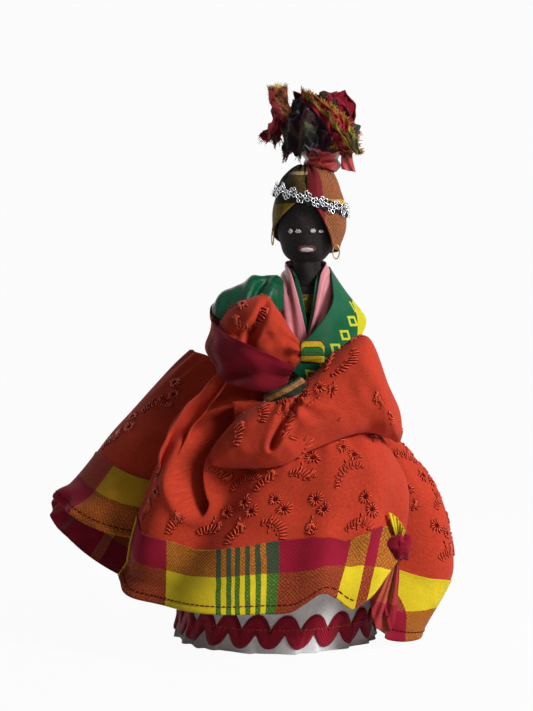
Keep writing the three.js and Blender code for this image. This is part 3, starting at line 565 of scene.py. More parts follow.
def sash_motif(g, s, t, base):
    """A row of woven lozenges, and a plain patch at the outer edge over the shoulder."""
    run = g.math("SUBTRACT", g.math("FRACT", g.math("DIVIDE", s, LOZENGE_PITCH * MM)), 0.5)
    along = g.math("MULTIPLY", g.math("ABSOLUTE", run), LOZENGE_PITCH)
    across = g.math("ABSOLUTE", g.math("MULTIPLY_ADD", t, 1 / MM, -LOZENGE_ROW))
    diamond = g.math("ADD", along, g.math("MULTIPLY", across, 0.75))
    ring = g.math("LESS_THAN", g.math("ABSOLUTE", g.math("SUBTRACT", diamond, 2.4)), 0.75)
    shown = g.math("MULTIPLY", ring, g.math("GREATER_THAN", s, LOZENGE_START * MM))
    base = g.mix(shown, base, rgb(196, 200, 46))
    edge = g.math("MULTIPLY_ADD", g.math("ABSOLUTE", g.math("SUBTRACT", s, PATCH_AT * MM)), 0.5, PATCH_EDGE * MM)
    return g.mix(g.math("GREATER_THAN", t, edge), base, rgb(206, 198, 30))


materials = {
    "orange": cotton("orange_cloth", ORANGE, ORANGE_DEEP),
    "white": cotton("white_cotton", WHITE, rgb(222, 220, 222), pitch=0.5, sheen=0.1),
    "skin": skin_cloth(),
    "braid": braid(),
    "silver": metal("silver_braid", rgb(246, 246, 248), rgb(196, 196, 202), 0.24),
    # dark thread of the gimp's cords: partly the braid's core, partly painted shade between the silver loops
    "gimp_shade_core": thread("gimp_shade_core", rgb(46, 44, 46), rgb(24, 22, 24), 0.8),
    "gilt": metal("gilt_wire", rgb(206, 178, 122), rgb(112, 84, 42), 0.3),
    "red": satin("red_satin", rgb(200, 44, 40), rgb(122, 8, 20), 0.22, None, 0.4),
    "green": satin("green_satin", rgb(10, 92, 58), rgb(2, 54, 34), 0.26, None, 0.15),
    "sash": satin("sash_satin", rgb(16, 100, 64), rgb(6, 74, 46), 0.44, sash_motif, 0.1),
    "pink": satin("pink_satin", rgb(226, 150, 158), rgb(196, 112, 124)),
    "orange_thread": thread("orange_thread", rgb(232, 92, 56), rgb(200, 60, 36), 0.32, 0.3),
    # dark red thread beside each stitch: painted shadow of the raised stitches on the cloth
    "stitch_shadow_thread": thread("stitch_shadow_thread", rgb(124, 18, 16), rgb(96, 8, 10), 0.8, 0.05),
    "selvage": thread("selvage", YELLOW, MUSTARD, 0.7),
    "red_thread": thread("red_thread", rgb(104, 8, 20), rgb(70, 4, 12), 0.8, 0.08),
    "gold_thread": thread("gold_thread", rgb(210, 136, 52), rgb(170, 96, 34)),
    "white_thread": thread("white_thread", rgb(232, 228, 230), rgb(190, 184, 188)),
    "lip_thread": thread("lip_thread", rgb(122, 78, 74), rgb(92, 54, 52)),
    "dark": thread("eyelet_shadow", rgb(122, 16, 16), rgb(92, 8, 10), 0.9, 0.05),
    "card": board("card", rgb(196, 182, 158), rgb(162, 148, 124), (1, 1, 1), 1.2),
    "wood": board("wood", rgb(214, 178, 126), rgb(176, 134, 86), (1, 1, 0.08), 1.0),
}

CUFF_EDGE = [(1.0, GREEN), (0.6, BLACK_GREEN), (3.7, YELLOW), (1.6, BLACK)]
THIN_GREEN = [part for _ in range(5) for part in ((2.2, YELLOW), (2.3, GREEN))]
FRONT_WARP = (
    [(35, CRIMSON), (25.8, YELLOW)] + THIN_GREEN + [(2.2, YELLOW), (4.4, GREEN)]
    + [(31.4, CRIMSON), (10, YELLOW), (5, CRIMSON), (12, YELLOW), (50, TERRACOTTA)]
)
PLAIDS = {  # stripes along the cloth, stripes across it, and how much of the second shows
    "front_border": (FRONT_WARP, [(17.2, YELLOW), (13.8, CRIMSON)]),
    "round_border": ([
        (15, CRIMSON), (9, TERRACOTTA), (26, YELLOW), (5, GREEN), (4, TAN), (5, GREEN), (22, CRIMSON_DEEP), (12, TAN),
    ], [(14, CRIMSON), (2, CRIMSON_DEEP), (15, YELLOW)]),
    # its yellow is darkened as painted shade, this panel being on the side away from the key lamp
    "right_border": ([
        (24, CRIMSON), (2, OLIVE), (24, CRIMSON), (2, YELLOW), (42, CRIMSON), (28, SHADED_YELLOW), (5, GREEN),
        (20, CRIMSON),
    ], [(14, CRIMSON), (2, CRIMSON_DEEP), (15, SHADED_YELLOW)]),
    "left_border": ([
        (31, CRIMSON), (30, YELLOW), (5, GREEN), (4, TAN), (5, GREEN), (24, CRIMSON_DEEP), (12, TAN), (30, YELLOW),
    ], [(15, CRIMSON), (45, YELLOW)]),
    "flap_border": ([(7, CRIMSON), (8, OCHRE), (29, TERRACOTTA)], [(27, TERRACOTTA), (30, CRIMSON)], 0.45),
    "flap_corner": ([(40, YELLOW)], [(40, YELLOW)]),
    "train_border": ([(16, CRIMSON), (6, TAN), (70, CRIMSON_DEEP)], [(9, CRIMSON), (22, CRIMSON_DEEP)], 0.4),
    # the black-green below its top mustard band is partly the plaid's own colour and partly painted shade in the neck
    # opening
    "bodice": ([(14, BLACK_GREEN), (3.4, MUSTARD)], [(9, MUSTARD), (23, BLACK_GREEN)], 0.5),
    "wrap_right": (
        [(12, MUSTARD), (15, OLIVE), (2, GREY), (30, BLACK_GREEN)],
        [(29, MUSTARD), (14, BLACK), (1.5, GREY), (16, BLACK)], 0.5,
    ),
    "wrap_left": (
        [(4.5, CRIMSON_DEEP), (3, CRIMSON), (15, OCHRE), (2, YELLOW), (30, OCHRE)],
        [(29, BROWN), (2, YELLOW), (29, BROWN)], 0.42,
    ),
    "cuff": (CUFF_EDGE + [(18.6, OLIVE)] + CUFF_EDGE[::-1], [(60, MUSTARD)], 0.1),
    "left_cuff": (
        [(60, OLIVE)], [(0.9, OLIVE), (2.3, OCHRE), (3.1, BLACK_GREEN), (0.7, OCHRE), (3.0, BROWN)], 0.8,
    ),
    "tuft_core": ([(6, BLACK_GREEN), (3, CRIMSON_DEEP)], [(8, BLACK_GREEN), (2, OLIVE)]),
}
for name, plaid in PLAIDS.items():
    materials[name] = madras(name, *plaid)

# plaids of the tuft's leaves, by their numbers, and the threads of their frayed edges
LEAF_WARPS = {
    1: [(9, BLACK_GREEN), (5, CRIMSON_DEEP), (14, BLACK_GREEN)],
    2: [(3, CRIMSON), (2.2, YELLOW), (14, CRIMSON), (5, GREEN)],
    3: [(4, CRIMSON), (12, CRIMSON_DEEP), (8, GREEN)],
    4: [(12, CRIMSON), (4, TAN), (8, OLIVE)],
    5: [(9, OLIVE), (12, CRIMSON_DEEP), (2, YELLOW)],
    6: [(12, CRIMSON), (2, TAN), (10, CRIMSON_DEEP)],
    7: [(3, CRIMSON), (16, OCHRE), (3, MUSTARD)],
    8: [(9, BLACK), (1.6, GREY), (7, PURPLE), (2, CRIMSON), (6, OLIVE)],
    # leaf 9 is purple-black away from its striped edge: painted shade of the tuft's middle
    9: [(80, PURPLE)],
    10: [(13, GREEN), (2, YELLOW), (70, CRIMSON)],
}
LEAF_WEFTS = {
    1: [(26, BLACK_GREEN), (5, CRIMSON_DEEP), (20, BLACK_GREEN)],
    2: [(12, CRIMSON), (4, CRIMSON_DEEP)],
    3: [(40, CRIMSON_DEEP), (12, GREEN)],
    7: [(60, BROWN)],
    8: [(9, BLACK), (1.2, GREY), (8, PURPLE), (4, OLIVE)],
    # leaf 9: striped edge, then purple-black as painted shade of the tuft's middle
    9: [(0.7, GREEN), (2.8, YELLOW), (7.5, CRIMSON), (40, PURPLE)],
    10: [(1.6, MUSTARD), (6, CRIMSON), (40, CRIMSON_DEEP)],
}
FRAYS = {
    1: (CRIMSON, BLACK_GREEN), 2: (YELLOW, MUSTARD), 3: (GREEN, OLIVE), 4: (TAN, CRIMSON), 6: (CRIMSON, CRIMSON_DEEP),
    7: (YELLOW, TAN), 8: (OLIVE, BLACK), 9: (CRIMSON, MUSTARD), 10: (OCHRE, MUSTARD),
}


# Support: the card foot, card form and dowel keep their solids and get their grain

for node, finish in (("base_disc", "card"), ("skirt_form", "card"), ("spine_dowel", "wood")):
    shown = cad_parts[node]
    shown.data.materials.clear()
    shown.data.materials.append(materials[finish])

# Petticoat with small tucks at its foot, and the zigzag braid sewn round it

FORM_RADIUS, FORM_TOP, FORM_FOOT, DRUM_HEIGHT, FORM_HEIGHT = 46.0, 13.0, 2.5, 30.0, 113.0
PETTICOAT_OUT, PETTICOAT_TOP = 2.0, 112.65
TUCK_HEIGHT, FLARE_HEIGHT = 34, 9
RICRAC_WAVES = 22
RICRAC_RADIUS, RICRAC_MIDDLE, RICRAC_SWING, RICRAC_HALF = 48.0, 10.6, 4.5, 3.6


def form_radius(z):
    cone = lerp(FORM_RADIUS, FORM_TOP, (z - DRUM_HEIGHT) / (FORM_HEIGHT - DRUM_HEIGHT))
    return np.where(z < DRUM_HEIGHT, FORM_RADIUS, cone)


def form_centre(z):
    return BUST[0] * np.maximum(0, (z - FORM_FOOT) / (FORM_HEIGHT - FORM_FOOT))


tuck_rng = np.random.default_rng(3)
TUCKS = np.cumsum(tuck_rng.uniform(10, 24, 22))
TUCKS = TUCKS * 360 / (TUCKS[-1] + 14)


def petticoat_radius(turn, z):
    """Outer radius of the petticoat, with tucks that lap one way and fade upward."""
    radius = form_radius(z) + PETTICOAT_OUT
    foot, flare = np.clip(1 - z / TUCK_HEIGHT, 0, 1), np.clip(1 - z / FLARE_HEIGHT, 0, 1)
    for k, place in enumerate(TUCKS):
        off = (turn - place + 180) % 360 - 180 - 0.25 * z * (-1) ** k
        lap = np.where(off < 0, bell(off, 8.0), bell(off, 1.5))
        radius = radius + lap * (0.8 * foot + 1.5 * flare) * (1.2 + 0.4 * math.sin(5.0 * k))
    return radius + 0.5 * ripple(5, turn * 0.9, z * 0.35, 14) * np.clip(z / 30, 0.3, 1)


def round_point(turn, z, radius):
    place = around(turn, radius, radius, z)
    place[..., 0] += form_centre(z)
    return place


turn, z = np.meshgrid(turns(420), np.concatenate([
    np.linspace(PETTICOAT_TOP, 46, 24), np.linspace(44, 1.0, 52), [0.55, 0.4, 0.4]]))
radius = petticoat_radius(turn, z)
radius[-2:] -= [[0.8], [4.0]]  # the hem, turned in
petticoat = Cloth(round_point(turn, z, radius), closed=True)
petticoat.worn("petticoat_skirt", "white", "white_cotton", "petticoat")


def ricrac_row(phase, aside):
    """Run and height of one ridge of the braid, which keeps its distance from the braid's wavy middle."""
    pitch = math.tau * RICRAC_RADIUS / RICRAC_WAVES

    def ridge(p):
        slope = RICRAC_SWING * np.cos(p) * math.tau / pitch
        turned = aside / np.sqrt(1 + slope**2)
        return p * pitch / math.tau - turned * slope, RICRAC_MIDDLE + RICRAC_SWING * np.sin(p) + turned

    bend = (-0.5 if aside > 0 else 0.5) * math.pi  # the bend whose inside this ridge lies on
    p = bend + np.linspace(0, math.pi, 400)
    run, height = ridge(p)
    crossed = np.nonzero(run < bend * pitch / math.tau)[0]
    notch = height[crossed[-1]] if len(crossed) else None
    run, height = ridge(phase)
    if notch is not None:
        wave = np.floor((phase - bend) / math.tau)
        low, high = ((bend + math.tau * (wave + k)) * pitch / math.tau for k in (0, 1))
        height = np.where((run < low) | (run > high), notch, height)
        run = np.clip(run, low, high)
    return np.degrees(run / RICRAC_RADIUS), height


phase = np.linspace(0, math.tau * RICRAC_WAVES, 32 * RICRAC_WAVES, endpoint=False)
aside = np.linspace(RICRAC_HALF, -RICRAC_HALF, 17)
turn, z = np.moveaxis(np.array([ricrac_row(phase, a) for a in aside]), 1, 0)
plump = 1.2 * (1 - np.abs(aside / RICRAC_HALF) ** 4)[:, None]
radius = petticoat_radius(turn, z) + 0.4 + plump
ricrac = Cloth(round_point(turn, z, radius), t=(RICRAC_HALF - aside)[:, None], closed=True)
ricrac.worn("ricrac", "braid", "crimson_braid", "ricrac_braid", thickness=0.8)

SEWING_PITCH, SEWING_STITCH, SEWING_HEIGHT = 2.35, 1.45, 11.9  # two turns in degrees, and a height
ends = []
for edge in (0.0, SEWING_STITCH):
    turn = np.arange(0, 360, SEWING_PITCH) + edge
    z = SEWING_HEIGHT + 0.25 * np.sin(turn)
    ends.append(round_point(turn, z, petticoat_radius(turn, z) + 1.7))
stitches = stitch_paths(*ends, unit(ends[0] * [1, 1, 0]), 0.06)
sewing = tubes("ricrac_sewing", stitches, 0.14, "gold_thread", "crimson_braid")

# Stuffed figure: torso, neck, arms and head, of black cloth

SEAT_GAP = 0.35
ARM_RADIUS, NECK_RADIUS, NECK_TOP, NECK_FOOT = 3.1, 6.6, 15.8, -6.4
TORSO = [  # height above the form, half width, half depth
    (SEAT_GAP, 15, 11.5), (17.4, 16, 12), (34.8, 18.5, 12.5), (47, 17.5, 11.5), (55.1, 11.5, 9.5), (58, 8, 8),
]


def torso_point(turn, height, out):
    """A point of the torso's skin, or of a layer that lies out from it."""
    heights, wides, deeps = np.array(TORSO).T
    k = np.clip(np.searchsorted(heights, height) - 1, 0, len(TORSO) - 2)
    f = smoothstep(heights[k], heights[k + 1], height)
    wide = lerp(wides[k], wides[k + 1], f) + out
    deep = lerp(deeps[k], deeps[k + 1], f) + out
    return BUST + around(turn, wide, deep, height)


def padded(name, points, node):
    """A stuffed closed form of black cloth from rings of points, capped at both ends."""
    rings, sides = points.shape[:2]
    seam = 0.25 * ripple(11, points[..., 0], points[..., 2], 9)
    middle = points.mean(1, keepdims=True)
    points = points + unit(points - middle) * seam[..., None]
    index = np.arange(rings * sides).reshape(rings, sides)
    faces = quads(np.hstack([index, index[:, :1]])).tolist()
    faces.append(index[0].tolist())
    faces.append(index[-1][::-1].tolist())
    piece = object_of(name, points.reshape(-1, 3), faces, materials["skin"])
    worn(piece, node if node in ("head", "neck") else "body", "skin_cloth", node)


turn, height = np.meshgrid(turns(56), np.linspace(TORSO[-1][0], SEAT_GAP, 40))
padded("stuffed_torso", torso_point(turn, height, -0.3), "torso")


def limb(stations, radius, rings, sides):
    """Rings of points round a bent limb, drawn in at its ends."""
    centre = spline(stations, rings)
    ahead = unit(np.gradient(centre, axis=0))
    one = unit(np.cross(ahead, [0.0, 0.3, 1.0]))
    two = np.cross(ahead, one)
    f = np.linspace(-1, 1, rings)
    size = radius * (1 - np.abs(f) ** 6) ** 0.5
    size[0] = size[-1] = 0.3 * radius
    angle = circle(sides)
    turn = one[:, None] * np.cos(angle)[None, :, None] + two[:, None] * np.sin(angle)[None, :, None]
    return SHOULDERS + centre[:, None] + turn * size[:, None, None]


ARMS = {
    "right_arm": [(-25, -22, -15), (-31, -32, -29), (-18, -38, -31), (3, -42, -29.7)],
    "left_arm": [(26, -24, -33), (32, -36, -57), (10, -44, -60), (-13, -47.5, -47.5)],
}
for node, stations in ARMS.items():
    padded(f"stuffed_{node}", limb(stations, ARM_RADIUS, 40, 20), node)

heights = np.linspace(NECK_TOP, NECK_FOOT, 24)[:, None]
rounded = np.sqrt(np.clip(1 - (heights / 6.8) ** 2, 0.05, 1))  # the ball at the neck's foot
neck_radius = np.where(heights > 0, NECK_RADIUS, NECK_RADIUS * rounded)
neck = around(turns(40), neck_radius, neck_radius, heights)
padded("stuffed_neck", SHOULDERS + [0, 0, SEAT_GAP] + neck, "neck")

HEAD_RADIUS, HEAD_HALF = 14.6, 23.0


def head_point(turn, level, out):
    """A point of the egg-shaped head, or of a layer that lies out from it."""
    blunt = np.where(level < 0, 2.6, 2.1)
    radius = (HEAD_RADIUS + out) * np.clip(1 - np.abs(level) ** blunt, 0, 1) ** (1 / blunt)
    return HEAD + around(turn, radius, radius, (HEAD_HALF + out) * level)


turn, level = np.meshgrid(turns(72), np.cos(np.linspace(0.06, math.pi - 0.06, 60)))
skull = head_point(turn, level, -0.05)
nose = bell(((turn + 180) % 360 - 180 + 3), 9) * bell(level + 0.46, 0.12)
skull = skull + unit(skull - HEAD) * (0.5 * nose)[..., None]
padded("stuffed_head", skull, "head")


# Face: eyes and mouth in satin stitch


SATIN_SPACING = 0.42


def satin_patch(name, node, turn, level, wide, tall, parts):
    """Upright stitches side by side that fill an oval; parts are [finish, shares of width and height, lift]."""
    for k, (finish, wide_share, tall_share, lift) in enumerate(parts):
        count = max(5, int(wide * wide_share / SATIN_SPACING))
        off = np.linspace(-0.5, 0.5, count) * wide * wide_share
        across = np.abs(2 * off / (wide * wide_share * 1.08))
        half = 0.5 * tall * tall_share * np.clip(1 - across**3.2, 0.05, 1) ** 0.5
        half = half * np.random.default_rng(int(abs(turn) * 7)).uniform(0.78, 1.08, count)
        round_turn = turn + np.degrees(off / HEAD_RADIUS)
        low = head_point(round_turn, level - half / HEAD_HALF, lift)
        high = head_point(round_turn, level + half / HEAD_HALF, lift)
        label, nodes = (f"{name}_inset", []) if k else (name, [node])
        stitches = stitch_paths(low, high, unit(low - HEAD), 0.28)
        tubes(label, stitches, 0.3, finish, "white_thread", *nodes, body="head", sides=6)


for node, turn_at, level_at, wide, tall in (
    ("right_eye_outer", -34, -0.31, 1.9, 2.3),
    ("right_eye_inner", -18, -0.31, 2.5, 2.0),
    ("left_eye_inner", 10, -0.30, 2.1, 2.3),
    ("left_eye_outer", 26, -0.31, 2.1, 2.0),
):
    satin_patch(f"stitched_{node}", node, turn_at, level_at, wide, tall, [("white_thread", 1.0, 1.0, 0.25)])
satin_patch("stitched_mouth", "mouth", -1, -0.68, 9.6, 3.9,
            [("lip_thread", 1.0, 1.0, 0.2), ("white_thread", 0.66, 0.55, 0.6)])

# Headwrap: two folded panels that meet over the brow and part down the sides of the face

BROW, NAPE, CROWN = 0.44, -0.72, 0.985
WRAP_OUT, WRAP_FULLNESS = 2.1, 1.8
WRAPS = {  # side, turn and level where it parts from the face, fullness, finish
    "headwrap_right": (-1, 73, -0.22, 0.0, "wrap_right"),
    "headwrap_left": (1, 50, -0.6, WRAP_FULLNESS, "wrap_left"),
}


def wrap_edge(turn, temple, temple_level):
    brow = lerp(BROW, temple_level, turn / temple)
    nape = lerp(temple_level, NAPE, np.clip((turn - temple) / (180 - temple), 0, 1))
    return np.where(turn < temple, brow, nape)


for node, (side, temple, temple_level, fullness, finish) in WRAPS.items():
    across = np.linspace(-1.2, 180, 110)
    if side < 0:
        across = across[::-1]
    share, turn = np.meshgrid(np.linspace(0, 1, 64), across, indexing="ij")
    edge = wrap_edge(np.clip(turn, 0, 180), temple, temple_level)
    top = math.acos(-CROWN)
    level = -np.cos(top - (top - np.arccos(-edge)) * share)
    out = WRAP_OUT + fullness * np.sin(np.radians(turn)) * smoothstep(-0.75, -0.15, level)
    gather = bell(share, 0.3) * 0.9 * np.sin(np.radians(turn) * 17 + 2 * np.sin(turn / 11))
    pleats = 0.5 * np.sin(turn / 7 + share * 9 + side) * smoothstep(0.1, 0.4, share) * (1 - smoothstep(0.7, 1, share))
    rolled = 0.7 * bell(share - 1, 0.06)
    lap = 0.35 if side > 0 else 0.0
    points = head_point(side * turn, level, out + gather + pleats + rolled + lap)
    s = np.radians(turn) * HEAD_RADIUS * 1.1
    wrap = Cloth(points, s=s, t=points[..., 2] - HEAD[2] + HEAD_HALF)
    wrap.worn(f"{node}_cloth", finish, "plaid_cloth", node, body="head", thickness=0.8).sheet("folded", "head")

# Silvery gimp braid round the headwrap: clumped wire loops on cords whose dark colour is partly the braid's core and
# partly painted shade between the loops


def trim_point(turn, offset, out):
    r = np.radians(turn)
    height = HEAD_HALF * (0.3 - 0.2 * np.sin(r)) + offset
    fullness = WRAP_FULLNESS * np.maximum(0, np.sin(r))
    return head_point(turn, height / HEAD_HALF, WRAP_OUT + fullness + 1.0 + out)


CLUMP_PITCH, LOOP_REACH = 12.0, 1.35  # degrees, millimetres
rng = np.random.default_rng(21)
loops = []
for k, place in enumerate(np.arange(0, 360, CLUMP_PITCH)):
    rise = 0.8 * (-1) ** k + rng.uniform(-0.4, 0.4)
    for petal in circle(5) + rng.uniform(0, 1.2):
        size = rng.uniform(0.62, 0.9)
        angle = circle(10)
        offset = rise + LOOP_REACH * math.sin(petal) + size * np.sin(angle)
        swing = place + np.degrees((LOOP_REACH * math.cos(petal) + size * np.cos(angle)) / (HEAD_RADIUS + 3))
        lean = rng.uniform(-0.2, 0.9)
        loops.append(trim_point(swing, offset, 0.7 + lean * np.cos(angle - petal)))
tubes("gimp_loops", loops, 0.22, "silver", "silver_braid", "silver_trim", body="head", closed=True)
# dark cords under the loops, their colour partly painted shade in the gaps between the loops
turn = turns(240)
cords = []
for off in (-1.9, -1.2, -0.5, 0.2, 0.9, 1.6):
    cords.append(trim_point(turn, off + 0.3 * np.sin(np.radians(turn) * 40 + off), -0.1))
tubes("gimp_shade_cords", cords, 0.52, "gimp_shade_core", "silver_braid", body="head", sides=6, closed=True)

# Hoop earrings

HOOP_RADIUS = 3.4
for node, turn_at, level_at, fullness, swing in (
    ("right_earring", -84, -0.27, 0.0, 82), ("left_earring", 52, -0.5, WRAP_FULLNESS, 62)):
    hang = head_point(np.array(turn_at), np.array(level_at), WRAP_OUT + fullness + 0.35)
    angle = circle(48)
    wide = HOOP_RADIUS * np.cos(angle) * math.cos(math.radians(swing))
    hoop = hang + np.stack([wide, 0 * angle, HOOP_RADIUS * np.sin(angle) - HOOP_RADIUS], -1)
    tubes(f"{node}_hoop", [hoop], 0.32, "gilt", "gilt_wire", node, body="head", sides=8, closed=True)

# Topknot: gathered stem, satin wound round it, and a tuft of crumpled leaves

STEM_TOP = 13.0
turn, f = np.meshgrid(turns(90), np.linspace(0, 1, 24))
radius = 6.7 + 0.35 * np.sin(np.radians(turn) * 15) + 0.2 * ripple(31, turn, f * 20, 30)
height = lerp(STEM_TOP, -3.8, f)


def knot_point(turn, radius, height):
    return TOPKNOT + around(turn, radius, radius, height)


stem = Cloth(knot_point(turn, radius, height), closed=True)
stem.worn("topknot_gathers", "wrap_left", "plaid_cloth", "topknot_stem", body="head")

turn, f = np.meshgrid(turns(150), np.linspace(0, 1, 44))
r = np.radians(turn)
foot = 0.35 - 3.6 * (0.5 + 0.5 * np.sin(r))
height = lerp(STEM_TOP, foot, f)
diagonal = f * 6.3 + r * 0.55
folds = 1.15 * np.sin(diagonal * 2.3 + 0.8 * np.sin(2 * r)) + 0.45 * np.sin(r * 5 + f * 7)
wound = 0.9 * smoothstep(0.47, 0.53, (f + 0.16 * np.sin(r - 0.6)))
swell = np.sin(math.pi * f)
radius = 8.0 + (2.2 + 0.5 * np.sin(r)) * swell**0.7 + (folds - wound) * swell**0.5
binding = Cloth(knot_point(turn, radius, height), closed=True)
binding.worn("topknot_binding", "red", "red_satin", "topknot_ribbon", body="head", thickness=SATIN)
tail_top = TOPKNOT + [11.0, -2.5, 6.5]
tail = ribbon([
    (tail_top + [-1.8, 0, 0.8], (0.5, 0.6, 0.6)), (tail_top + [1.2, -1.4, -0.6], (0.8, 0.3, 0.5)),
    (tail_top + [1.8, -2.2, -5], (0.95, 0.2, 0.1)), (tail_top + [2.6, -2.4, -9.4], (0.95, 0.1, -0.2))], 7, 30, 12,
    [(0, 0.6), (0.4, 0.8), (1, 1)])
tail = tail.moved(0.45 * np.sin(tail.t * 1.6 + tail.s * 0.5))
tail.worn("topknot_tail", "red", "red_satin", "topknot_ribbon_tail", body="head", thickness=SATIN)
binding.sheet("gathered", "topknot_gathers", tail.made)

LEAVES = {  # turn and spread in degrees, reach, and how far it rises and hangs
    1: (8, 90, 13, 19, -2), 2: (50, 66, 15, 19, -4), 3: (92, 72, 17, 19, -6), 4: (140, 76, 18, 23, 2),
    5: (190, 76, 20, 22, 2), 6: (258, 66, 27, 14, 0), 8: (318, 68, 20, 18, -8),
}
SCRAP_WIDTH = 9.4
SCRAP = [
    ((-5, -3, 14), (1, 0, 0.6)), ((-12, -6, 19), (1, 0, 0.5)), ((-18, -8, 25.5), (1, -0.1, 0.2)),
    ((-20.5, -9, 31), (1, 0.1, 0.1)), ((-20.8, -8.6, 36.5), (1, 0.2, 0.1)),
]
FANS = {  # free edge from left to right, and where it is gathered
    9: ([(-8.8, -12, 33.9), (-3.9, -15.5, 29.6), (2.9, -17.5, 23.2), (6.8, -18, 18.8), (9.7, -17.5, 15.9),
         (12.6, -16, 10.9), (16.5, -13.5, 6)], [(-7, -8, 9), (0, -10, 6), (6, -9, 5)]),
    10: ([(-9.5, -9, 36), (-4, -12.5, 32.5), (2, -14.5, 28.8), (7, -15, 25), (11, -14, 21.5), (14, -12, 17),
          (17, -10, 11), (19.3, -9, 5)], [(-4, -5, 11), (2, -6, 9), (6, -5, 7)]),
}


def crumpled(seed, a, b, size):
    """Soft waves crossed by pinched creases, about 0."""
    pinched = 0.6 - 1.5 * np.abs(ripple(seed + 300, a, b, 0.9 * size))
    return ripple(seed, a, b, size) + 0.9 * pinched + 0.35 * ripple(seed + 600, a, b, 0.4 * size)


def tuft_leaf(k):
    """Points of a leaf that rises from the knot, turns over and hangs."""
    if k == 7:
        leaf = ribbon(SCRAP, SCRAP_WIDTH, 48, 56, [(0, 0.5), (0.5, 0.9), (1, 1)])
        points = np.moveaxis(leaf.points, 0, 1)[:, ::-1]
        a, b = np.meshgrid(np.linspace(0, SCRAP_WIDTH, 56), np.linspace(0, 34, 48))
        return TOPKNOT + points + (np.array([0.1, -1, 0.1]) * (0.8 * crumpled(47, a, b, 9))[..., None])
    if k in FANS:
        edge, root = (spline(row, 64)[::-1] for row in FANS[k])
        f = np.linspace(0, 1, 60)[:, None, None]
        across = np.linspace(0, 45, 64)[None] + 0 * f[..., 0]
        folds = np.sin(across * 0.62 + k) * 0.9 + 0.9 * crumpled(40 + k, across, 30 * f[..., 0], 11)
        folds = folds * smoothstep(0.05, 0.5, f[..., 0]) + 3.4 * np.sin(math.pi * f[..., 0] ** 0.8)
        return TOPKNOT + lerp(root, edge, f) + np.array([0.1, -1, 0.25]) * folds[..., None]
    leaf_turn, spread, reach, top, hang = LEAVES[k]
    path = spline([
        (2.45, STEM_TOP + SEAT_GAP), (5.6, STEM_TOP + 0.6 * top), (0.6 * reach, STEM_TOP + top),
        (0.93 * reach, STEM_TOP + lerp(top, hang, 0.45)), (reach, STEM_TOP + hang)], 60)
    f = np.linspace(0, 1, 60)[:, None]
    across = spread * np.linspace(-0.5, 0.5, 56)[None] * (1 + 0.08 * f)
    a, b = across * 0.3 + 0 * f, f * 40 + 0 * across
    ruffle = 1.6 * f * np.sin(np.radians(across) * 11 + leaf_turn)
    crumple = smoothstep(0, 0.5, f) * (0.6 if k in (1, 2) else 1.25) * crumpled(40 + k, a, b, 12)
    ragged = 1.3 * smoothstep(0.85, 1, f) * ripple(80 + k, a * 2.6, 0 * b, 6)
    radius = path[:, :1] + ruffle + crumple
    height = path[:, 1:] + 0.6 * ruffle + 0.7 * crumple + ragged
    return knot_point(leaf_turn + across + 2.0 * crumple, radius, height)


for k in range(1, 11):
    leaf = Cloth(tuft_leaf(k))
    if k in FANS:
        inward = leaf.t[-1:] - leaf.t
        if k == 9:
            inward = inward * (1 + 1.3 * smoothstep(0.45, 0.8, np.linspace(0, 1, 64)))
        leaf = Cloth(leaf.points, leaf.s[-1:], inward)
    weft = LEAF_WEFTS.get(k, [(14, CRIMSON_DEEP), (5, OLIVE), (7, CRIMSON)])
    materials[f"tuft_{k}"] = madras(f"tuft_cloth_{k}", LEAF_WARPS[k], weft, 0.75 if k == 9 else 0.5)
    nodes = [] if k in FANS else [f"tuft_leaf_{k}"]
    leaf.worn(f"tuft_{k}", f"tuft_{k}", "plaid_cloth", *nodes, body="head", thickness=TUFT_CLOTH)
    # loose threads along the frayed edges
    rng = np.random.default_rng(100 + k)
    fray = []
    edge = leaf.points[-1]
    out = unit(leaf.points[-1] - leaf.points[-3])
    for i in np.linspace(0, len(edge) - 1, 200 if k == 10 else 90).astype(int):
        run = rng.uniform(0.8, 2.4)
        sway = rng.uniform(-0.5, 0.5, 3)
        start = edge[i] - 0.6 * out[i]
        fray.append([start, edge[i] + 0.5 * run * out[i] + 0.3 * sway, edge[i] + run * (out[i] + sway)])
    for side_points, inner in ((leaf.points[:, 0], leaf.points[:, 2]), (leaf.points[:, -1], leaf.points[:, -3])):
        for i in range(20, len(side_points), 2):
            away = unit(side_points[i] - inner[i])
            run = rng.uniform(0.4, 1.3)
            fray.append([side_points[i] - 0.4 * away, side_points[i] + run * (away + rng.uniform(-0.4, 0.4, 3))])
    colour, deep = FRAYS.get(k, (CRIMSON, CRIMSON_DEEP))
    materials[f"fray_{k}"] = thread(f"fray_{k}", colour, deep, 0.8, 0.08)
    thick = 0.26 if k == 10 else 0.17
    fringe = tubes(f"tuft_fray_{k}", fray, thick, f"fray_{k}", "plaid_cloth", body="head", sides=3)
    leaf.sheet("gathered", "topknot_binding", fringe)

turn, polar = np.meshgrid(turns(90), np.linspace(8, 150, 60))
rim = 12.5 + 1.3 * crumpled(53, turn * 0.2, polar * 0.2, 11)
height = 20.5 + rim * np.cos(np.radians(polar))
core = Cloth(knot_point(turn, rim * np.sin(np.radians(polar)), height) - [2.5, 0, 0], closed=True)
core.worn("tuft_core", "tuft_core", "plaid_cloth", body="head", thickness=TUFT_CLOTH)
core.sheet("gathered", "topknot_binding")

# Bodice and waistband

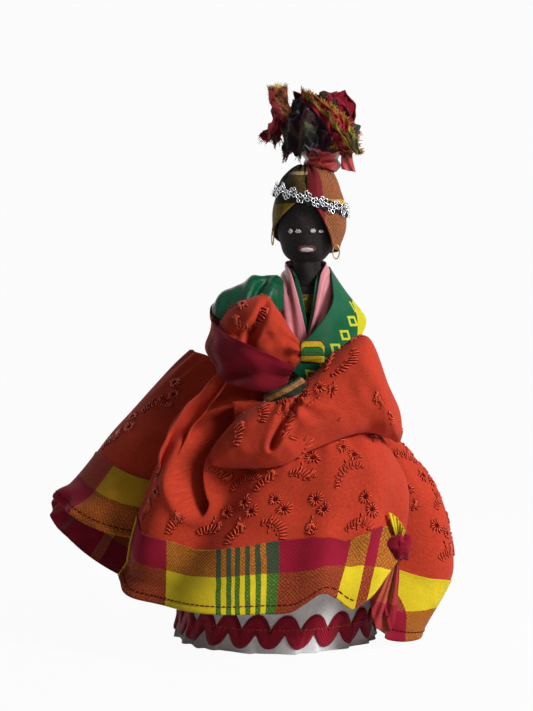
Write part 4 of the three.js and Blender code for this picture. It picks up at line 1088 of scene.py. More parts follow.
BODICE_TOP, BODICE_OUT, BAND_TOP, BAND_OUT, BODICE_FOOT = 54.5, 2.0, 8.35, 4.1, 0.4
turn, height = np.meshgrid(turns(120), np.linspace(BODICE_TOP, BODICE_FOOT, 40))
bodice = Cloth(torso_point(turn, height, BODICE_OUT), closed=True)
bodice.worn("bodice_cloth", "bodice", "plaid_cloth", "bodice")
turn, height = np.meshgrid(turns(120), np.linspace(BAND_TOP, BODICE_FOOT, 10))
waistband = Cloth(torso_point(turn, height, BAND_OUT + 0.3 * np.sin(np.radians(turn) * 40)), closed=True)
waistband.worn("waistband_cloth", "orange", "orange_cloth", "waistband")

# Neck ribbons and sash

NECK_RIBBON = [
    ((-4.4, -22, -29), (1, 0, 0.25)), ((-8.0, -17.2, -13), (1, -0.25, 0.25)), ((-11.2, -7.5, 2), (0.75, -0.1, 0.7)),
    ((-10.7, 4, 7), (0.25, 0, 1)), ((0, 11.7, 8), (0, 0, 1)), ((10.7, 4, 7), (-0.25, 0, 1)),
    ((10.2, -8.5, 1.5), (-0.75, -0.1, 0.7)), ((8, -17.5, -13), (-1, -0.25, 0.25)), ((4.5, -22, -27), (-1, 0, 0.25)),
]
EDGE_RIBBON = [
    ((-2.6, -20.6, -26), (1, 0, 0.2)), ((-4.8, -16.2, -11), (1, -0.25, 0.2)), ((-7.4, -8.6, 2), (0.8, -0.15, 0.6)),
    ((-8.4, 3.6, 6), (0.25, 0, 1)), ((0, 10.4, 7), (0, 0, 1)), ((8.4, 3.6, 6), (-0.25, 0, 1)),
    ((7.0, -9.2, 1.5), (-0.8, -0.15, 0.6)), ((5.4, -16.4, -11), (-1, -0.25, 0.2)), ((2.6, -20.6, -25), (-1, 0, 0.2)),
]
ribbons = []
for node, stations, width, finish, slot in (
    ("edge_ribbon", EDGE_RIBBON, 7.0, "green", "green_satin"),
    ("neck_ribbon", NECK_RIBBON, 10.5, "pink", "pink_satin"),
):
    strip = ribbon(from_shoulders(stations), width, 130, 20)
    strip = strip.moved(0.45 * np.sin(strip.t * 1.25 + 0.09 * strip.s) + 0.35 * bell(strip.t - 0.3 * width, 1.2))
    ribbons.append(strip.worn(f"{node}_satin", finish, slot, node, thickness=SATIN))
ribbons[1].sheet("folded", "bodice_cloth", ribbons[0].made)

SASH_WIDTH = 22
SASH = [
    ((-18, 4, -7), (0.1, 0.6, 0.6)), ((0, 15.5, -6.5), (0, -0.22, 1)), ((13, 10, -0.6), (-0.35, 0.1, 0.9)),
    ((18.2, -5, -2.2), (-0.6, 0.3, 0.75)), ((20, -17, -13), (-0.72, -0.38, 0.58)),
    ((10.5, -25, -28), (-0.85, -0.2, 0.6)), ((-4, -29, -43), (-0.75, -0.1, 0.7)),
]
sash = ribbon(from_shoulders(SASH), SASH_WIDTH, 150, 36)
sash = sash.moved(0.5 * ripple(51, sash.s * 0.5, sash.t, 16) + 0.5 * bell(sash.t - SASH_WIDTH, 1.4))
sash.worn("sash_satin", "sash", "green_satin", "sash", thickness=SATIN)
sash.sheet("draped", "bodice_cloth")

PUFF = [  # x, middle of the arch, its top, half its depth, its drop
    (-45.7, -18, -9, 3, 4), (-43, -18, -5, 6, 9), (-39.5, -18, -2.2, 8.5, 13), (-34, -18, 1.5, 10.5, 16),
    (-26.2, -17, 4.9, 11.5, 18), (-19.5, -14, 5.6, 11.5, 17), (-15.6, -12, 4.6, 10.5, 15), (-11.5, -9, 2.5, 9, 12),
]
x, y, top, half, drop = spline(PUFF, 110).T[:, None]
bow = np.radians(np.linspace(-80, 96, 48))[:, None]
arch = np.stack([x + 0 * bow, y - half * np.sin(bow), top - drop * (1 - np.cos(bow))], -1)
across = np.degrees(bow)
puff_folds = 0.5 * np.sin(x * 0.42 + 0.02 * across) + 0.2 * np.sin(x * 0.9 + 0.05 * across)
puff_folds = puff_folds - 3.4 * bell(x + 22 + 0.1 * (across - 40), 2.6) * smoothstep(0, 40, across)
puff_folds = puff_folds + 1.4 * bell(x + 17.5 + 0.06 * (across - 40), 2.2)
puff_folds = puff_folds + 0.3 * ripple(61, x, across * 0.25, 14)
puff = Cloth(SHOULDERS + arch).moved(puff_folds * smoothstep(0, 0.16, np.linspace(0, 1, 110)))
puff.worn("sash_loop", "green", "green_satin", "sash_puff", thickness=SATIN)
puff.sheet("folded", "right_sleeve")


# Gown: four panels of embroidered cotton, each with a plaid border

GOWN_OUT, LAYER, FLAP_RISE = 6.3, 2.1, 21.0
WAIST_HEIGHT = 4.0
FRONT_SEAM = [  # x, height of the front border there
    (-60, 30), (-48, 29), (-33, 31.5), (-22, 33.5), (5.5, 37), (16, 33), (20, 38), (24, 46), (29, 52), (36, 56),
]
HEM_CENTRE = np.array([-6.0, 0.0, 0.0])
HITCH_TURN, HITCH_SPREAD, HITCH_REACH, HITCH_LIFT = -94.0, 36.0, 36.0, 23.0
# hems: turn, radius, height, how far the middle of the cloth swells out and is lifted
FRONT_HEM = [
    (-57, 76, 36, 9, 0), (-52, 78, 30.5, 10, 0), (-44, 79.5, 27.5, 11, 0), (-30, 80, 26, 12, 0), (-4, 80, 25, 12, 0),
    (9, 79, 25.5, 12, 0), (14, 78.5, 29.5, 12, 0), (19.5, 78, 34, 12, 0), (24, 78, 31.5, 13, 0),
    (28.5, 79, 26.5, 14, 0), (42, 79, 26, 16, 0), (82, 79, 26, 16, 0),
]
ROUND_HEM = [
    (-325, 66, 19, 6, 0), (-312, 73, 14, 12, -4), (-300, 79, 4, 23, -2), (-285, 83, 2.5, 42, 2), (-265, 91, 5, 48, 4),
    (-230, 88, 12, 22, -4), (-180, 88, 11, 14, 0), (-132, 98, 15, 2, 4), (-105, 103, 47, 0, 8),
    (-88, 103, 66, 0, 10), (-72, 90, 61, 0, 6), (-55, 70, 50, 0, 0), (-35, 60, 50, 0, 0),
]
# folds: turns at the waist and hem, width, heights at the waist, the middle and the hem
FRONT_FOLDS = [
    (-40, -52, 9, 4, 7, 3), (-30, -36, 9, -3, -7, -1), (-18, -20, 12, 1, 3, 2),
    (2, 3, 10, -1, -2, -3), (16, 20, 9, 1, 2, 2), (36, 36, 8, 2, 3, 4),
]
ROUND_FOLDS = [
    (-322, -318, 9, 0, 2, 5), (-300, -300, 9, -1, -3, -6), (-314, -310, 4, 0, 1, 4),
    (-306, -304, 4, 0, -1, -4), (-284, -286, 9, 1, 2, 5), (-262, -268, 12, -1, -2, -4),
    (-238, -240, 11, 2, 4, 5), (-216, -218, 10, -2, -3, -4), (-196, -196, 11, 2, 4, 5),
    (-176, -174, 10, -2, -3, -4), (-156, -152, 11, 2, 4, 5), (-136, -130, 11, -2, -3, -4),
    (-112, -108, 13, 1, 3, 4), (-86, -90, 10, -1, -3, -3), (-62, -68, 9, 3, 6, 4), (-47, -54, 8, -3, -7, -4),
]
COWL = [  # x and z of the hollow fold's outline, seen from the front
    (-30.8, 127), (-22.5, 123.3), (-17.9, 115), (-18.9, 106.7), (-25, 100), (-30.5, 92), (-32, 84), (-31, 76),
    (-29.5, 70.5), (-33, 65), (-40.9, 66.4), (-46, 73.6), (-48.8, 81), (-47.8, 89.2), (-42.8, 101.2), (-37.3, 114.1),
]
LEFT_EDGE = [  # z, x of the front panel's edge at the left of the view
    (25, -71), (31.5, -70), (52.5, -66.5), (69, -62), (84, -56.6), (98.5, -48.6), (129, -30), (140, -22),
]


def fold_height(folds, turn, v):
    """Height of all the folds together."""
    total = 0
    for waist, hem, width, top, middle, bottom in folds:
        height = np.where(v < 0.5, lerp(top, middle, 2 * v), lerp(middle, bottom, 2 * v - 1))
        total = total + height * bell(turn - lerp(waist, hem, v), width)
    return total


def gown_points(front, turn, v):
    """Points of the gown v of the way from the waist to the hem, and which way is outward there."""
    r = np.radians(turn)
    outward = around(turn, 1, 1, 0)
    hem_radius, hem_z, swell, lift = np.moveaxis(through(FRONT_HEM if front else ROUND_HEM, turn), -1, 0)
    hitch = 0 * turn if front else bell(turn - HITCH_TURN, HITCH_SPREAD)
    waist = torso_point(turn, WAIST_HEIGHT + 0 * turn, GOWN_OUT + (LAYER if front else 0))
    waist = waist + outward * (HITCH_REACH * hitch)[..., None]
    waist[..., 2] += HITCH_LIFT * hitch
    hem = HEM_CENTRE + outward * hem_radius[..., None]
    hem[..., 2] += hem_z
    middle = (waist + hem) / 2 + outward * swell[..., None]
    middle[..., 2] += lift
    w = v[..., None]
    place = (1 - w) ** 2 * waist + 2 * w * (1 - w) * middle + w * w * hem
    height = fold_height(FRONT_FOLDS if front else ROUND_FOLDS, turn, v)
    gathers = 0.8 * bell(v, 0.22) * np.sin(r * 44 + 3 * np.sin(r * 5))
    fine = 0.55 * ripple(71 + front, turn * 0.9, v * 55, 20) * smoothstep(0, 0.3, v)
    return place + outward * (height + gathers + fine)[..., None], outward


PANELS = {  # [share of the way down, turn] of its two edges, columns of points, finish of its border
    "front": ([(0, -57)], [(0, 78), (0.55, 61), (0.76, 53), (1, 28.5)], 190, "front_border"),
    "right": ([(0, -118)], [(0, -38)], 130, "right_border"),
    "back": ([(0, -230)], [(0, -118)], 150, "round_border"),
    "left": ([(0, -322), (0.55, -321), (1, -311)], [(0, -230)], 190, "left_border"),
}
HEM_STITCHING, HEM_STEP = 0.9, 0.5  # share of the border's depth, and millimetres
TUCKED_IN = 12  # how far the other panels are held in under the front one
SEAM_LAP = 0.8  # how far a panel's cloth runs on under its border
gown = {}
for side, (first_edge, last_edge, columns, finish) in PANELS.items():
    front = side == "front"
    v = np.linspace(0, 1, 150)[:, None]
    u = np.linspace(0, 1, columns)[None]
    start, last = between(first_edge, v), between(last_edge, v)
    turn = start + (last[-1:] - start) * u + (last - last[-1:]) * u**6 if front else start + (last - start) * u
    v = v + 0 * turn
    points, outward = gown_points(front, turn, v)
    if front:
        carried = points[:, 0, 0] - between(LEFT_EDGE, points[:, 0, 2])
        carried = np.clip(carried / 0.84, 0, 32)[:, None] * smoothstep(-20, -57, turn)
        full = 13.0 * bell(v - 0.3, 0.26) * smoothstep(-34, 2, turn) * smoothstep(80, 45, turn)
        points = points + outward * (carried + full)[..., None]
    above = run_length(points, 0)
    above = above[-1:] - above
    s = run_length(points[-1:], 1) + 0 * above
    if front:
        height = pocket(points[..., 0], points[..., 2], COWL, 21.0, 6.0, 2.8, 3.4)
        height = height * smoothstep(8, -12, points[..., 0])
        height = height + 3.0 * smoothstep(0.93, 1, u) * smoothstep(0.2, 0.45, v) + 1.2 * bell(u, 0.02)
        points = points + outward * height[..., None]
        deep = between(FRONT_SEAM, points[-1:, :, 0])
    else:
        tucked = smoothstep(-66, -52, turn) * smoothstep(0.12, 0.4, v) * (turn > -90)
        tucked = tucked + smoothstep(0.74, 1, v) * bell(turn + 274, 20)
        tucked = tucked + bell(turn + 298, 10) * smoothstep(0.12, 0.35, v) * smoothstep(0.9, 0.65, v)
        points = points - outward * (TUCKED_IN * tucked)[..., None]
        deep = BORDER_WIDTH + FLAP_RISE * smoothstep(-284, -304, turn[-1:]) - 6 * bell(turn[-1:] + 268, 14)
    cut = {}
    for part, heights in (
        ("cloth", np.linspace(1, 0, 110)[:, None] * (above[0] - deep + SEAM_LAP) + deep - SEAM_LAP),
        ("border", np.linspace(1, 0, 44)[:, None] * deep),
    ):
        place = np.empty(heights.shape + (3,))
        for i in range(columns):
            for axis in range(3):
                place[:, i, axis] = np.interp(heights[:, i], above[::-1, i], points[::-1, i, axis])
        run = s[:1]
        if front and part == "border":
            hem_turn = np.linspace(-57, 75, 300)
            hem, _ = gown_points(True, hem_turn, 1 + 0 * hem_turn)
            leaning = place[..., 0] - 0.22 * heights * smoothstep(0.55, 0.85, u)
            run = np.interp(leaning, hem[:, 0], run_length(hem[None], 1)[0])
        cloth = Cloth(place, run, heights * BORDER_WIDTH / deep if front and part == "border" else heights)
        if part == "border":
            hem_roll = 0.45 * bell(heights - 1.2, 1.5) + 0.35 + 0.25 * bell(heights - deep, 1.0)
            if side == "right":
                loose = smoothstep(16, 0, heights) * smoothstep(0, 14, run)
                hem_roll = hem_roll + loose * (1.6 + 2.0 * ripple(91, run, heights, 17))
            if side == "left":
                off_s, off_t = run - 6.0, deep - 2.0 - heights
                fan = np.arctan2(off_s, np.maximum(off_t, 0.5) + 4)
                reach = np.hypot(off_s, off_t)
                hem_roll = hem_roll + 1.1 * np.sin(11 * fan) * smoothstep(1, 10, reach) * smoothstep(24, 8, off_s)
            cloth = cloth.moved(hem_roll)
        cut[part] = cloth
    gown[side] = cut
    cut["cloth"].worn(f"gown_{side}_cloth", "orange", "orange_cloth", f"gown_{side}")
    cut["border"].worn(f"gown_{side}_plaid", finish, "plaid_cloth", f"gown_{side}_border")
    # stitches of the hem, each of four steps and a gap of one
    grid = cut["border"].points
    row = int(HEM_STITCHING * (len(grid) - 1))
    line = np.interp(np.arange(0, s[0, -1] - 1.9, HEM_STEP), s[0], np.arange(columns))
    place = np.stack([np.interp(line, np.arange(columns), grid[row, :, axis]) for axis in range(3)], -1)
    lift = cut["border"].normals[row, np.clip(line.round().astype(int), 0, columns - 1)]
    place = place + 0.05 * lift
    count = len(place) - 5
    seams = stitch_paths(place[:count:5], place[4:count + 4:5], lift[:count:5], 0.18)
    cut["sewing"] = [tubes(f"gown_{side}_stitching", seams, 0.26, "red_thread", "plaid_cloth", sides=4)]

# Cloth of the lifted side, drawn back from its raised edge to the waist

turn, f = np.meshgrid(np.linspace(-152, -38, 150), np.linspace(1, 0, 26))
raised, _ = gown_points(False, turn, 0 * turn)
waist = torso_point(turn, WAIST_HEIGHT + 0 * turn, GOWN_OUT - 1.0)
drawn = lerp(waist, raised, f[..., None])
reach = np.linalg.norm(raised - waist, axis=-1)
sag = 0.22 * reach - 0.9 * np.sin(turn * 0.5 + 2 * f) - 0.05 * reach * np.sin(turn * 0.23)
drawn[..., 2] -= sag * np.sin(math.pi * f) + 0.3
drawn = Cloth(drawn[::-1])
drawn.worn("gown_right_gather", "orange", "orange_cloth")
drawn.sheet("gathered", "waistband_cloth")

# Fold of the front panel that is drawn up to the right hand

LIFTED_FOLD = [  # place and half width
    (-19, -31, 135, 2.6), (-26, -34, 127, 3.4), (-35, -38, 117, 4.2), (-43.5, -41, 106, 4.8),
    (-49, -43, 95, 4.6), (-52, -46, 84, 3.0),
]
step = np.arange(90)
path = spline(LIFTED_FOLD, len(step))
ahead = unit(np.gradient(path[:, :3], axis=0))
across = unit(np.cross([0, 1, 0], ahead))
outward = unit(np.cross(ahead, across))
turn = np.radians(np.linspace(115, -115, 36))[:, None]
size = path[:, 3] * (1 + 0.08 * np.sin(3 * turn + 0.2 * step) + 0.05 * np.sin(0.35 * step))
fold = (size * np.sin(turn))[..., None] * across + (size * np.cos(turn))[..., None] * outward
lifted_fold = Cloth(path[:, :3] + fold)
lifted_fold.worn("gown_front_fold", "orange", "orange_cloth")
lifted_fold.sheet("gathered", "gown_front_cloth")

# Bunched knot of the border at the front panel's right corner, and the selvage of its left edge

KNOT_AT = np.array([57.6, -48.0, 51.0])
turn, polar = np.meshgrid(turns(60), np.linspace(6, 174, 40))
bunch = 6.2 + 0.9 * np.sin(np.radians(turn) * 3 + polar / 16) + 0.5 * crumpled(57, turn * 0.1, polar * 0.1, 9)
girth, rise = bunch * np.sin(np.radians(polar)), bunch * np.cos(np.radians(polar))
knot = Cloth(KNOT_AT + around(turn, girth, 0.8 * girth, rise), closed=True)
knot.worn("border_knot", "train_border", "plaid_cloth", thickness=0.4)
knot.sheet("gathered", "gown_left_plaid")
# the flap and its corner: degrees from straight down, and reach
FLAP_REACH = [(-38, 20.6), (-32, 25.4), (-17, 38.5), (-8.6, 41.5), (-4, 37), (-1, 28)]
FLAP_CORNER = [(160, 7.6), (174, 10), (184, 13), (197, 17)]
FLAP_HEM = [(40, -53), (48, -51.5), (55, -48.5), (62, -44), (68, -37), (72, -30)]  # x and y of the hem below


def flap(stations, cycles):
    """Pleats that fan out from the knot: rows run outward, columns across the fan."""
    angle = np.radians(np.linspace(stations[-1][0], stations[0][0], 90))[None]
    reach = between(stations, np.degrees(angle)) * np.linspace(0.06, 1, 60)[:, None]
    x, z = KNOT_AT[0] + reach * np.sin(angle), KNOT_AT[2] - reach * np.cos(angle)
    hem = between(FLAP_HEM, x)
    y = lerp(KNOT_AT[1] - 0.5, hem, np.clip(reach / 40, 0, 1) if cycles else 0)
    share = (np.degrees(angle) - stations[0][0]) / (stations[-1][0] - stations[0][0])
    pleats = np.sin(math.tau * cycles * share + 1.3 * np.sin(7 * share)) + 0.5 * np.sin(31 * share + 0.08 * reach)
    pleats = pleats * (0.4 + 1.2 * smoothstep(4, 30, reach))
    y = y - pleats - 0.5 * ripple(58, x, z, 8)
    across = 42 * (1 - share) + 0 * reach
    return Cloth(np.stack([x, y, z], -1)[:, ::-1], across[:, ::-1], reach[:, ::-1])


pleated = flap(FLAP_REACH, 2.6)
pleated.worn("border_flap", "flap_border", "plaid_cloth")
corner = flap(FLAP_CORNER, 0)
corner.worn("border_corner", "flap_corner", "plaid_cloth")
pleated.sheet("gathered", "gown_left_plaid", corner.made)
edge = gown["front"]["border"].points[:, 0]
gown["front"]["sewing"].append(tubes("front_selvage", [edge], 0.55, "selvage", "plaid_cloth", sides=8))

# Sleeves, gathered into striped cuffs; stations are [x, top, bottom, front, back]

RIGHT_SLEEVE = [
    (-44, -21, -31, -29, -20), (-38, -11, -39, -40, -17), (-28, -5, -43, -46, -16), (-20, -4, -44, -48, -17),
    (-13, -12, -41, -47, -25), (-8, -20, -38.5, -47, -33), (-4.3, -24.6, -35.2, -46.8, -37.2),
]
LEFT_SLEEVE = [
    (45, -67.6, -68.4, -26.4, -25.6), (43.5, -58, -74, -33, -20), (38, -46, -72, -44, -20), (28, -23, -68, -50, -18),
    (14, -29, -70, -54, -22), (-2, -44, -76, -58, -28), (-12, -50, -81, -60, -32), (-24, -54, -83, -60, -34),
    (-34, -61, -84, -57, -38), (-42, -70, -83, -52, -42), (-46, -76, -81, -47, -44),
]
RIGHT_CUFF_AT, LEFT_CUFF_AT = SHOULDERS + [1.6, -42, -29.8], SHOULDERS + [-10.4, -47.3, -48.6]
# creases: from and to, seen from the front, width, height
RIGHT_CREASES = [
    ((-3.5, 166), (-13.5, 144), 2.4, -5.0), ((-20, 148), (-9.5, 152), 2.6, -4.4),
    ((-7, 165), (-18, 145), 3.0, 1.6), ((-16, 141), (-2, 150), 2.2, -2.0),
]
LEFT_CREASES = [
    ((-30, 105), (-5, 117), 2.0, -2.6), ((-32, 93), (0, 96), 5.0, 1.4),
    ((22, 135), (40, 108), 6.0, -1.4), ((8, 102), (30, 100), 5.0, -1.2),
]
LEFT_TUCK = [
    (10, 124), (2.3, 113.4), (-3.2, 102), (-4.1, 97.9), (-2.3, 96), (0.5, 98.3), (4.1, 105.6), (11.4, 117.9),
    (14.6, 127),
]
GOWN_SKIN = np.vstack([gown[side]["cloth"].points.reshape(-1, 3) for side in PANELS])


def gown_face(x, z):
    """Y of the gown's outer face at places seen from the front."""
    found = []
    for x0, z0 in zip(x, z):
        off = np.hypot(GOWN_SKIN[:, 0] - x0, GOWN_SKIN[:, 2] - z0)
        near = off < max(2.5, off.min() + 0.5)
        found.append(GOWN_SKIN[near, 1].min())
    return np.convolve(np.pad(found, 6, mode="edge"), np.full(13, 1 / 13), "valid")


def sleeve(stations, gather_at, seed, creases, lies):
    """Rings of a full sleeve, with folds that fan out from its cuff; the left one lies down onto the gown."""
    x, top, bottom, front, back = spline(stations, 150).T[:, None]
    angle = circle(170)[:, None]
    y = (front + back) / 2 - (back - front) / 2 * np.cos(angle)
    z = (top + bottom) / 2 + (top - bottom) / 2 * np.sin(angle)
    if lies:
        on_gown = gown_face(SHOULDERS[0] + x[0], SHOULDERS[2] + bottom[0])[None] - 0.8 + 2.5 * smoothstep(8, 36, x)
        on_gown = np.minimum(on_gown, back + 1)
        edge = np.where(np.cos(angle) > 0, np.minimum(front, on_gown + 4), back)
        low = on_gown + (edge - on_gown) * np.abs(np.cos(angle)) ** lerp(2.0, 1.2, smoothstep(-40, 0, x))
        y = np.where(np.sin(angle) < 0, low, lerp(y, low, bell(angle, 0.01)))
    points = SHOULDERS + np.stack([x + 0 * angle, y, z], -1)
    facing = np.clip(np.cos(angle), 0, 1) ** 0.7
    px, pz = points[..., 0], points[..., 2]
    height = pocket(px, pz, LEFT_TUCK, 5.0, 2.6, 1.3, 2.0) if lies else 0
    for fold in creases:
        height = height + crease(px, pz, *fold)
    reach = np.hypot(px - gather_at[0], pz - gather_at[2])
    fan = np.arctan2(pz - gather_at[2], px - gather_at[0])
    gathers = 1.1 * np.sin(11 * fan + 0.7 * np.sin(3 * fan)) * bell(reach - 6, 13)
    wrinkles = 0.5 * ripple(seed, px, pz, 17) + 0.2 * ripple(seed + 1, px, pz, 7)
    points[..., 1] -= facing * (height + gathers + wrinkles)
    points[..., 1] += np.clip(-np.cos(angle), 0, 1) * wrinkles
    return np.moveaxis(points, 0, 1)


def outside_out(rings):
    """A closed cloth from rings of points, turned so that its outer face is outside."""
    cloth = Cloth(rings, closed=True)
    away = rings - rings.mean(1, keepdims=True)
    return cloth if (cloth.normals[:, :-1] * away).sum() > 0 else Cloth(rings[:, ::-1], closed=True)


sleeves = {}
for name, stations, cuff_at, seed, creases in (
    ("right_sleeve", RIGHT_SLEEVE, RIGHT_CUFF_AT, 201, RIGHT_CREASES),
    ("left_sleeve", LEFT_SLEEVE, LEFT_CUFF_AT, 211, LEFT_CREASES),
):
    left = name == "left_sleeve"
    rings = sleeve(stations, cuff_at, seed, creases, left)
    sleeves[name] = outside_out(rings[::-1] if left else rings)
    sleeves[name].worn(f"{name}_cloth", "orange", "orange_cloth", name)

# head of the left sleeve, from the shoulder into the full part
rings = limb([(6, 3, -18), (13, 0, -21), (18, -7, -27), (20, -15, -35), (18, -26, -44)], 7.4, 60, 70)
angle, run = np.meshgrid(circle(70), np.linspace(0, 1, 60))
flare = 1 + 0.4 * (1 - smoothstep(0.2, 0.75, run)) + 0.03 * np.sin(9 * angle) * bell(run - 0.7, 0.15)
middle = rings.mean(1, keepdims=True)
sleeve_head = outside_out(middle + (rings - middle) * flare[..., None])
sleeve_head.worn("left_sleeve_head", "orange", "orange_cloth")
sleeve_head.sheet("gathered", "left_arm")


def cuff(name, centre, about_x, about_y, length, wide, tall, finish):
    """A short oval tube of striped cloth with rolled ends."""
    turn, f = np.meshgrid(turns(80), np.linspace(0.5, -0.5, 30))
    r = np.radians(turn)
    roll = 1 - 0.1 * np.abs(2 * f) ** 6 + 0.05 * f * np.sin(2 * r)
    crush = 1 + 0.05 * np.sin(r * 5 + 1 + 4 * f) + 0.03 * np.sin(r * 12 + 6 * f)
    points = around(turn, wide * roll * crush, tall * roll * crush, f * length)
    tilt = Matrix.Rotation(math.radians(about_x), 3, "X") @ Matrix.Rotation(math.radians(about_y), 3, "Y")
    points = points @ np.array(tilt).T + centre
    cloth = Cloth(points, t=(0.5 - f[:, :1]) * length, closed=True)
    cloth.worn(f"{name}_cloth", finish, "plaid_cloth", name, thickness=0.7)


cuff("right_cuff", RIGHT_CUFF_AT, 0, 90, 11, 5.4, 4.9, "cuff")
cuff("left_cuff", LEFT_CUFF_AT, 4, -28, 8, 10, 5.4, "left_cuff")

# Border of the train, carried over the right forearm

TRAIN_WIDTH = 21
TRAIN = [
    ((-44, -6, -17), (0.1, 0.1, 1)), ((-47, -20, -23), (0.1, 0, 1)), ((-41, -38, -31), (0.1, -0.15, 1)),
    ((-29, -49.5, -36), (0.25, -0.1, 1)), ((-18, -51, -39.5), (0.35, 0, 1)), ((-9, -50.5, -41), (0.5, 0, 0.9)),
]
train = ribbon(from_shoulders(TRAIN), TRAIN_WIDTH, 120, 50, [(0, 1), (0.5, 1), (0.8, 0.8), (1, 0.5)])
train_folds = 1.1 * np.sin(0.42 * train.t + 0.1 * train.s) + 0.9 * ripple(301, train.s, train.t * 1.5, 20)
train = train.moved(train_folds + 0.6 * bell(train.t, 1.5))
train.worn("train_plaid", "train_border", "plaid_cloth", "train_border")
train.sheet("draped", "right_sleeve")

# Embroidery: fronds and paired eyelets in satin stitch over the gown and sleeves

LONGEST_STITCH, EDGE_MARGIN = 6.5, 1.5
SPOKES, FEWEST_SPOKES, LEAST_FROND = 12, 10, 0.6
# no motif where the cloth is stretched or turned under, and no stitch that a fold draws out or closes up
LEAST_SCALE, MOST_SKEW, LEAST_FACING = 0.5, 1.7, -0.35
MOST_STRETCH, LEAST_STRETCH = 1.35, 0.45
EYELET_PAIR = np.array([[-2.6, 2.4], [2.6, -2.6]])


def frond(rng):
    """Stitches of a curved comb-like spray, as [start, end] offsets in millimetres."""
    bend, lean, tilt = rng.uniform(0.8, 1.3), rng.uniform(-0.9, 0.9), rng.uniform(-0.5, 0.5)
    curl = rng.choice([0.0, 1.0])  # some sprays turn back into an S
    made, spine = [], []
    place, heading = np.zeros(2), -bend + lean
    for f in np.linspace(-1, 1, 13):
        heading += bend / 6.5 * (1 if f < 0.1 or not curl else -2.2)
        ahead = np.array([math.cos(heading), -math.sin(heading)])
        place = place + 1.25 * ahead
        spine.append(place)
        side = np.array([math.sin(heading + 0.3), math.cos(heading + 0.3)])
        made.append((place + 0.3 * side, place + (4.7 - 1.6 * f * f) * rng.uniform(0.85, 1.15) * side))
    made += list(zip(spine[::2], spine[1::2]))
    middle = np.mean(spine, 0)
    turned = np.array([[math.cos(tilt), -math.sin(tilt)], [math.sin(tilt), math.cos(tilt)]])
    return [(turned @ (a - middle), turned @ (b - middle)) for a, b in made]


def eyelet(rng, centre):
    made = []
    for angle in circle(SPOKES) + rng.uniform(0, 0.4):
        toward = np.array([math.cos(angle), math.sin(angle)])
        made.append((centre + 1.1 * toward, centre + rng.uniform(2.4, 4.2) * toward))
    return made


def embroider(name, cloth, places, seed):
    """Sews motifs at [s, t, kind] places of a cloth, each stitch with a flat dark line beside it as its painted
    shadow.
    """
    rng = np.random.default_rng(seed)
    starts, ends, normals, holes = [], [], [], []
    low_s, high_s = cloth.s.min() + 5, cloth.s.max() - 5
    for s0, t0, kind in places:
        if not low_s < s0 < high_s:
            continue
        _, along_s, along_t, normal = cloth.at(s0, t0)
        scale = np.array([np.linalg.norm(along_s[0]), np.linalg.norm(along_t[0])])
        uneven = scale.min() < LEAST_SCALE or scale.max() > MOST_SKEW * min(1, scale.min())
        if uneven or normal[0, 2] < LEAST_FACING:
            continue
        if kind == "frond":
            lines = frond(rng)
        else:
            lines = eyelet(rng, EYELET_PAIR[0]) + eyelet(rng, EYELET_PAIR[1])
            lines += [(np.array([-1.9, -1.0 - 2.2 * k]), np.array([-1.6, -2.6 - 2.2 * k])) for k in range(2, 6)]
        flat = np.array(lines)
        a, b = flat[:, 0] / scale + [s0, t0], flat[:, 1] / scale + [s0, t0]
        inside = np.ones(len(lines), bool)
        for end_s, end_t in (a.T, b.T):
            ends_at = np.sort([np.interp(end_s, cloth.s[row], cloth.t[row]) for row in (0, -1)], 0)
            inside &= (end_t > ends_at[0] + EDGE_MARGIN) & (end_t < ends_at[1] - EDGE_MARGIN)
        if not inside.any():
            continue
        at_a, at_b = cloth.at(*a[inside].T), cloth.at(*b[inside].T)
        made_long = np.linalg.norm(at_b[0] - at_a[0], axis=1)
        meant_long = np.linalg.norm(flat[:, 1] - flat[:, 0], axis=1)[inside]
        kept = inside.copy()
        kept[inside] = (
            (made_long < LONGEST_STITCH)
            & (made_long < MOST_STRETCH * meant_long)
            & (made_long > LEAST_STRETCH * meant_long)
        )
        for k, centre in enumerate(EYELET_PAIR if kind == "eyelet" else []):
            spokes = kept[SPOKES * k:SPOKES * (k + 1)]
            if spokes.sum() < FEWEST_SPOKES:
                spokes[:] = False
                continue
            place, e_s, e_t, n = cloth.at(s0 + centre[0] / scale[0], t0 + centre[1] / scale[1])
            holes.append((place[0], unit(e_s[0]), unit(e_t[0]), n[0]))
        if kind == "frond" and kept.mean() < LEAST_FROND:
            continue
        starts.append(at_a[0][kept[inside]])
        ends.append(at_b[0][kept[inside]])
        normals.append(at_a[3][kept[inside]])
    starts, ends, normals = np.vstack(starts), np.vstack(ends), np.vstack(normals)
    # flat dark red lines set aside from the stitches: their painted shadow on the cloth
    aside = 0.42 * unit(np.cross(ends - starts, normals))
    raised = stitch_paths(starts, ends, normals, 0.45)
    shadow_lines = stitch_paths(starts + aside, ends + aside, normals, 0.02)
    angle = circle(10)[:, None]
    discs = [
        place + n * 0.06 + size * (np.cos(angle) * e_s + np.sin(angle) * e_t)
        for place, e_s, e_t, n in holes for size in (0.25, 0.75)
    ]
    return [
        tubes(f"{name}_embroidery", raised, 0.32, "orange_thread", "orange_cloth"),
        tubes(f"{name}_stitch_shadow", shadow_lines, 0.3, "stitch_shadow_thread", "orange_cloth", sides=4),
        tubes(f"{name}_eyelets", discs, 0.32, "dark", "orange_cloth", sides=4, closed=True),
    ]


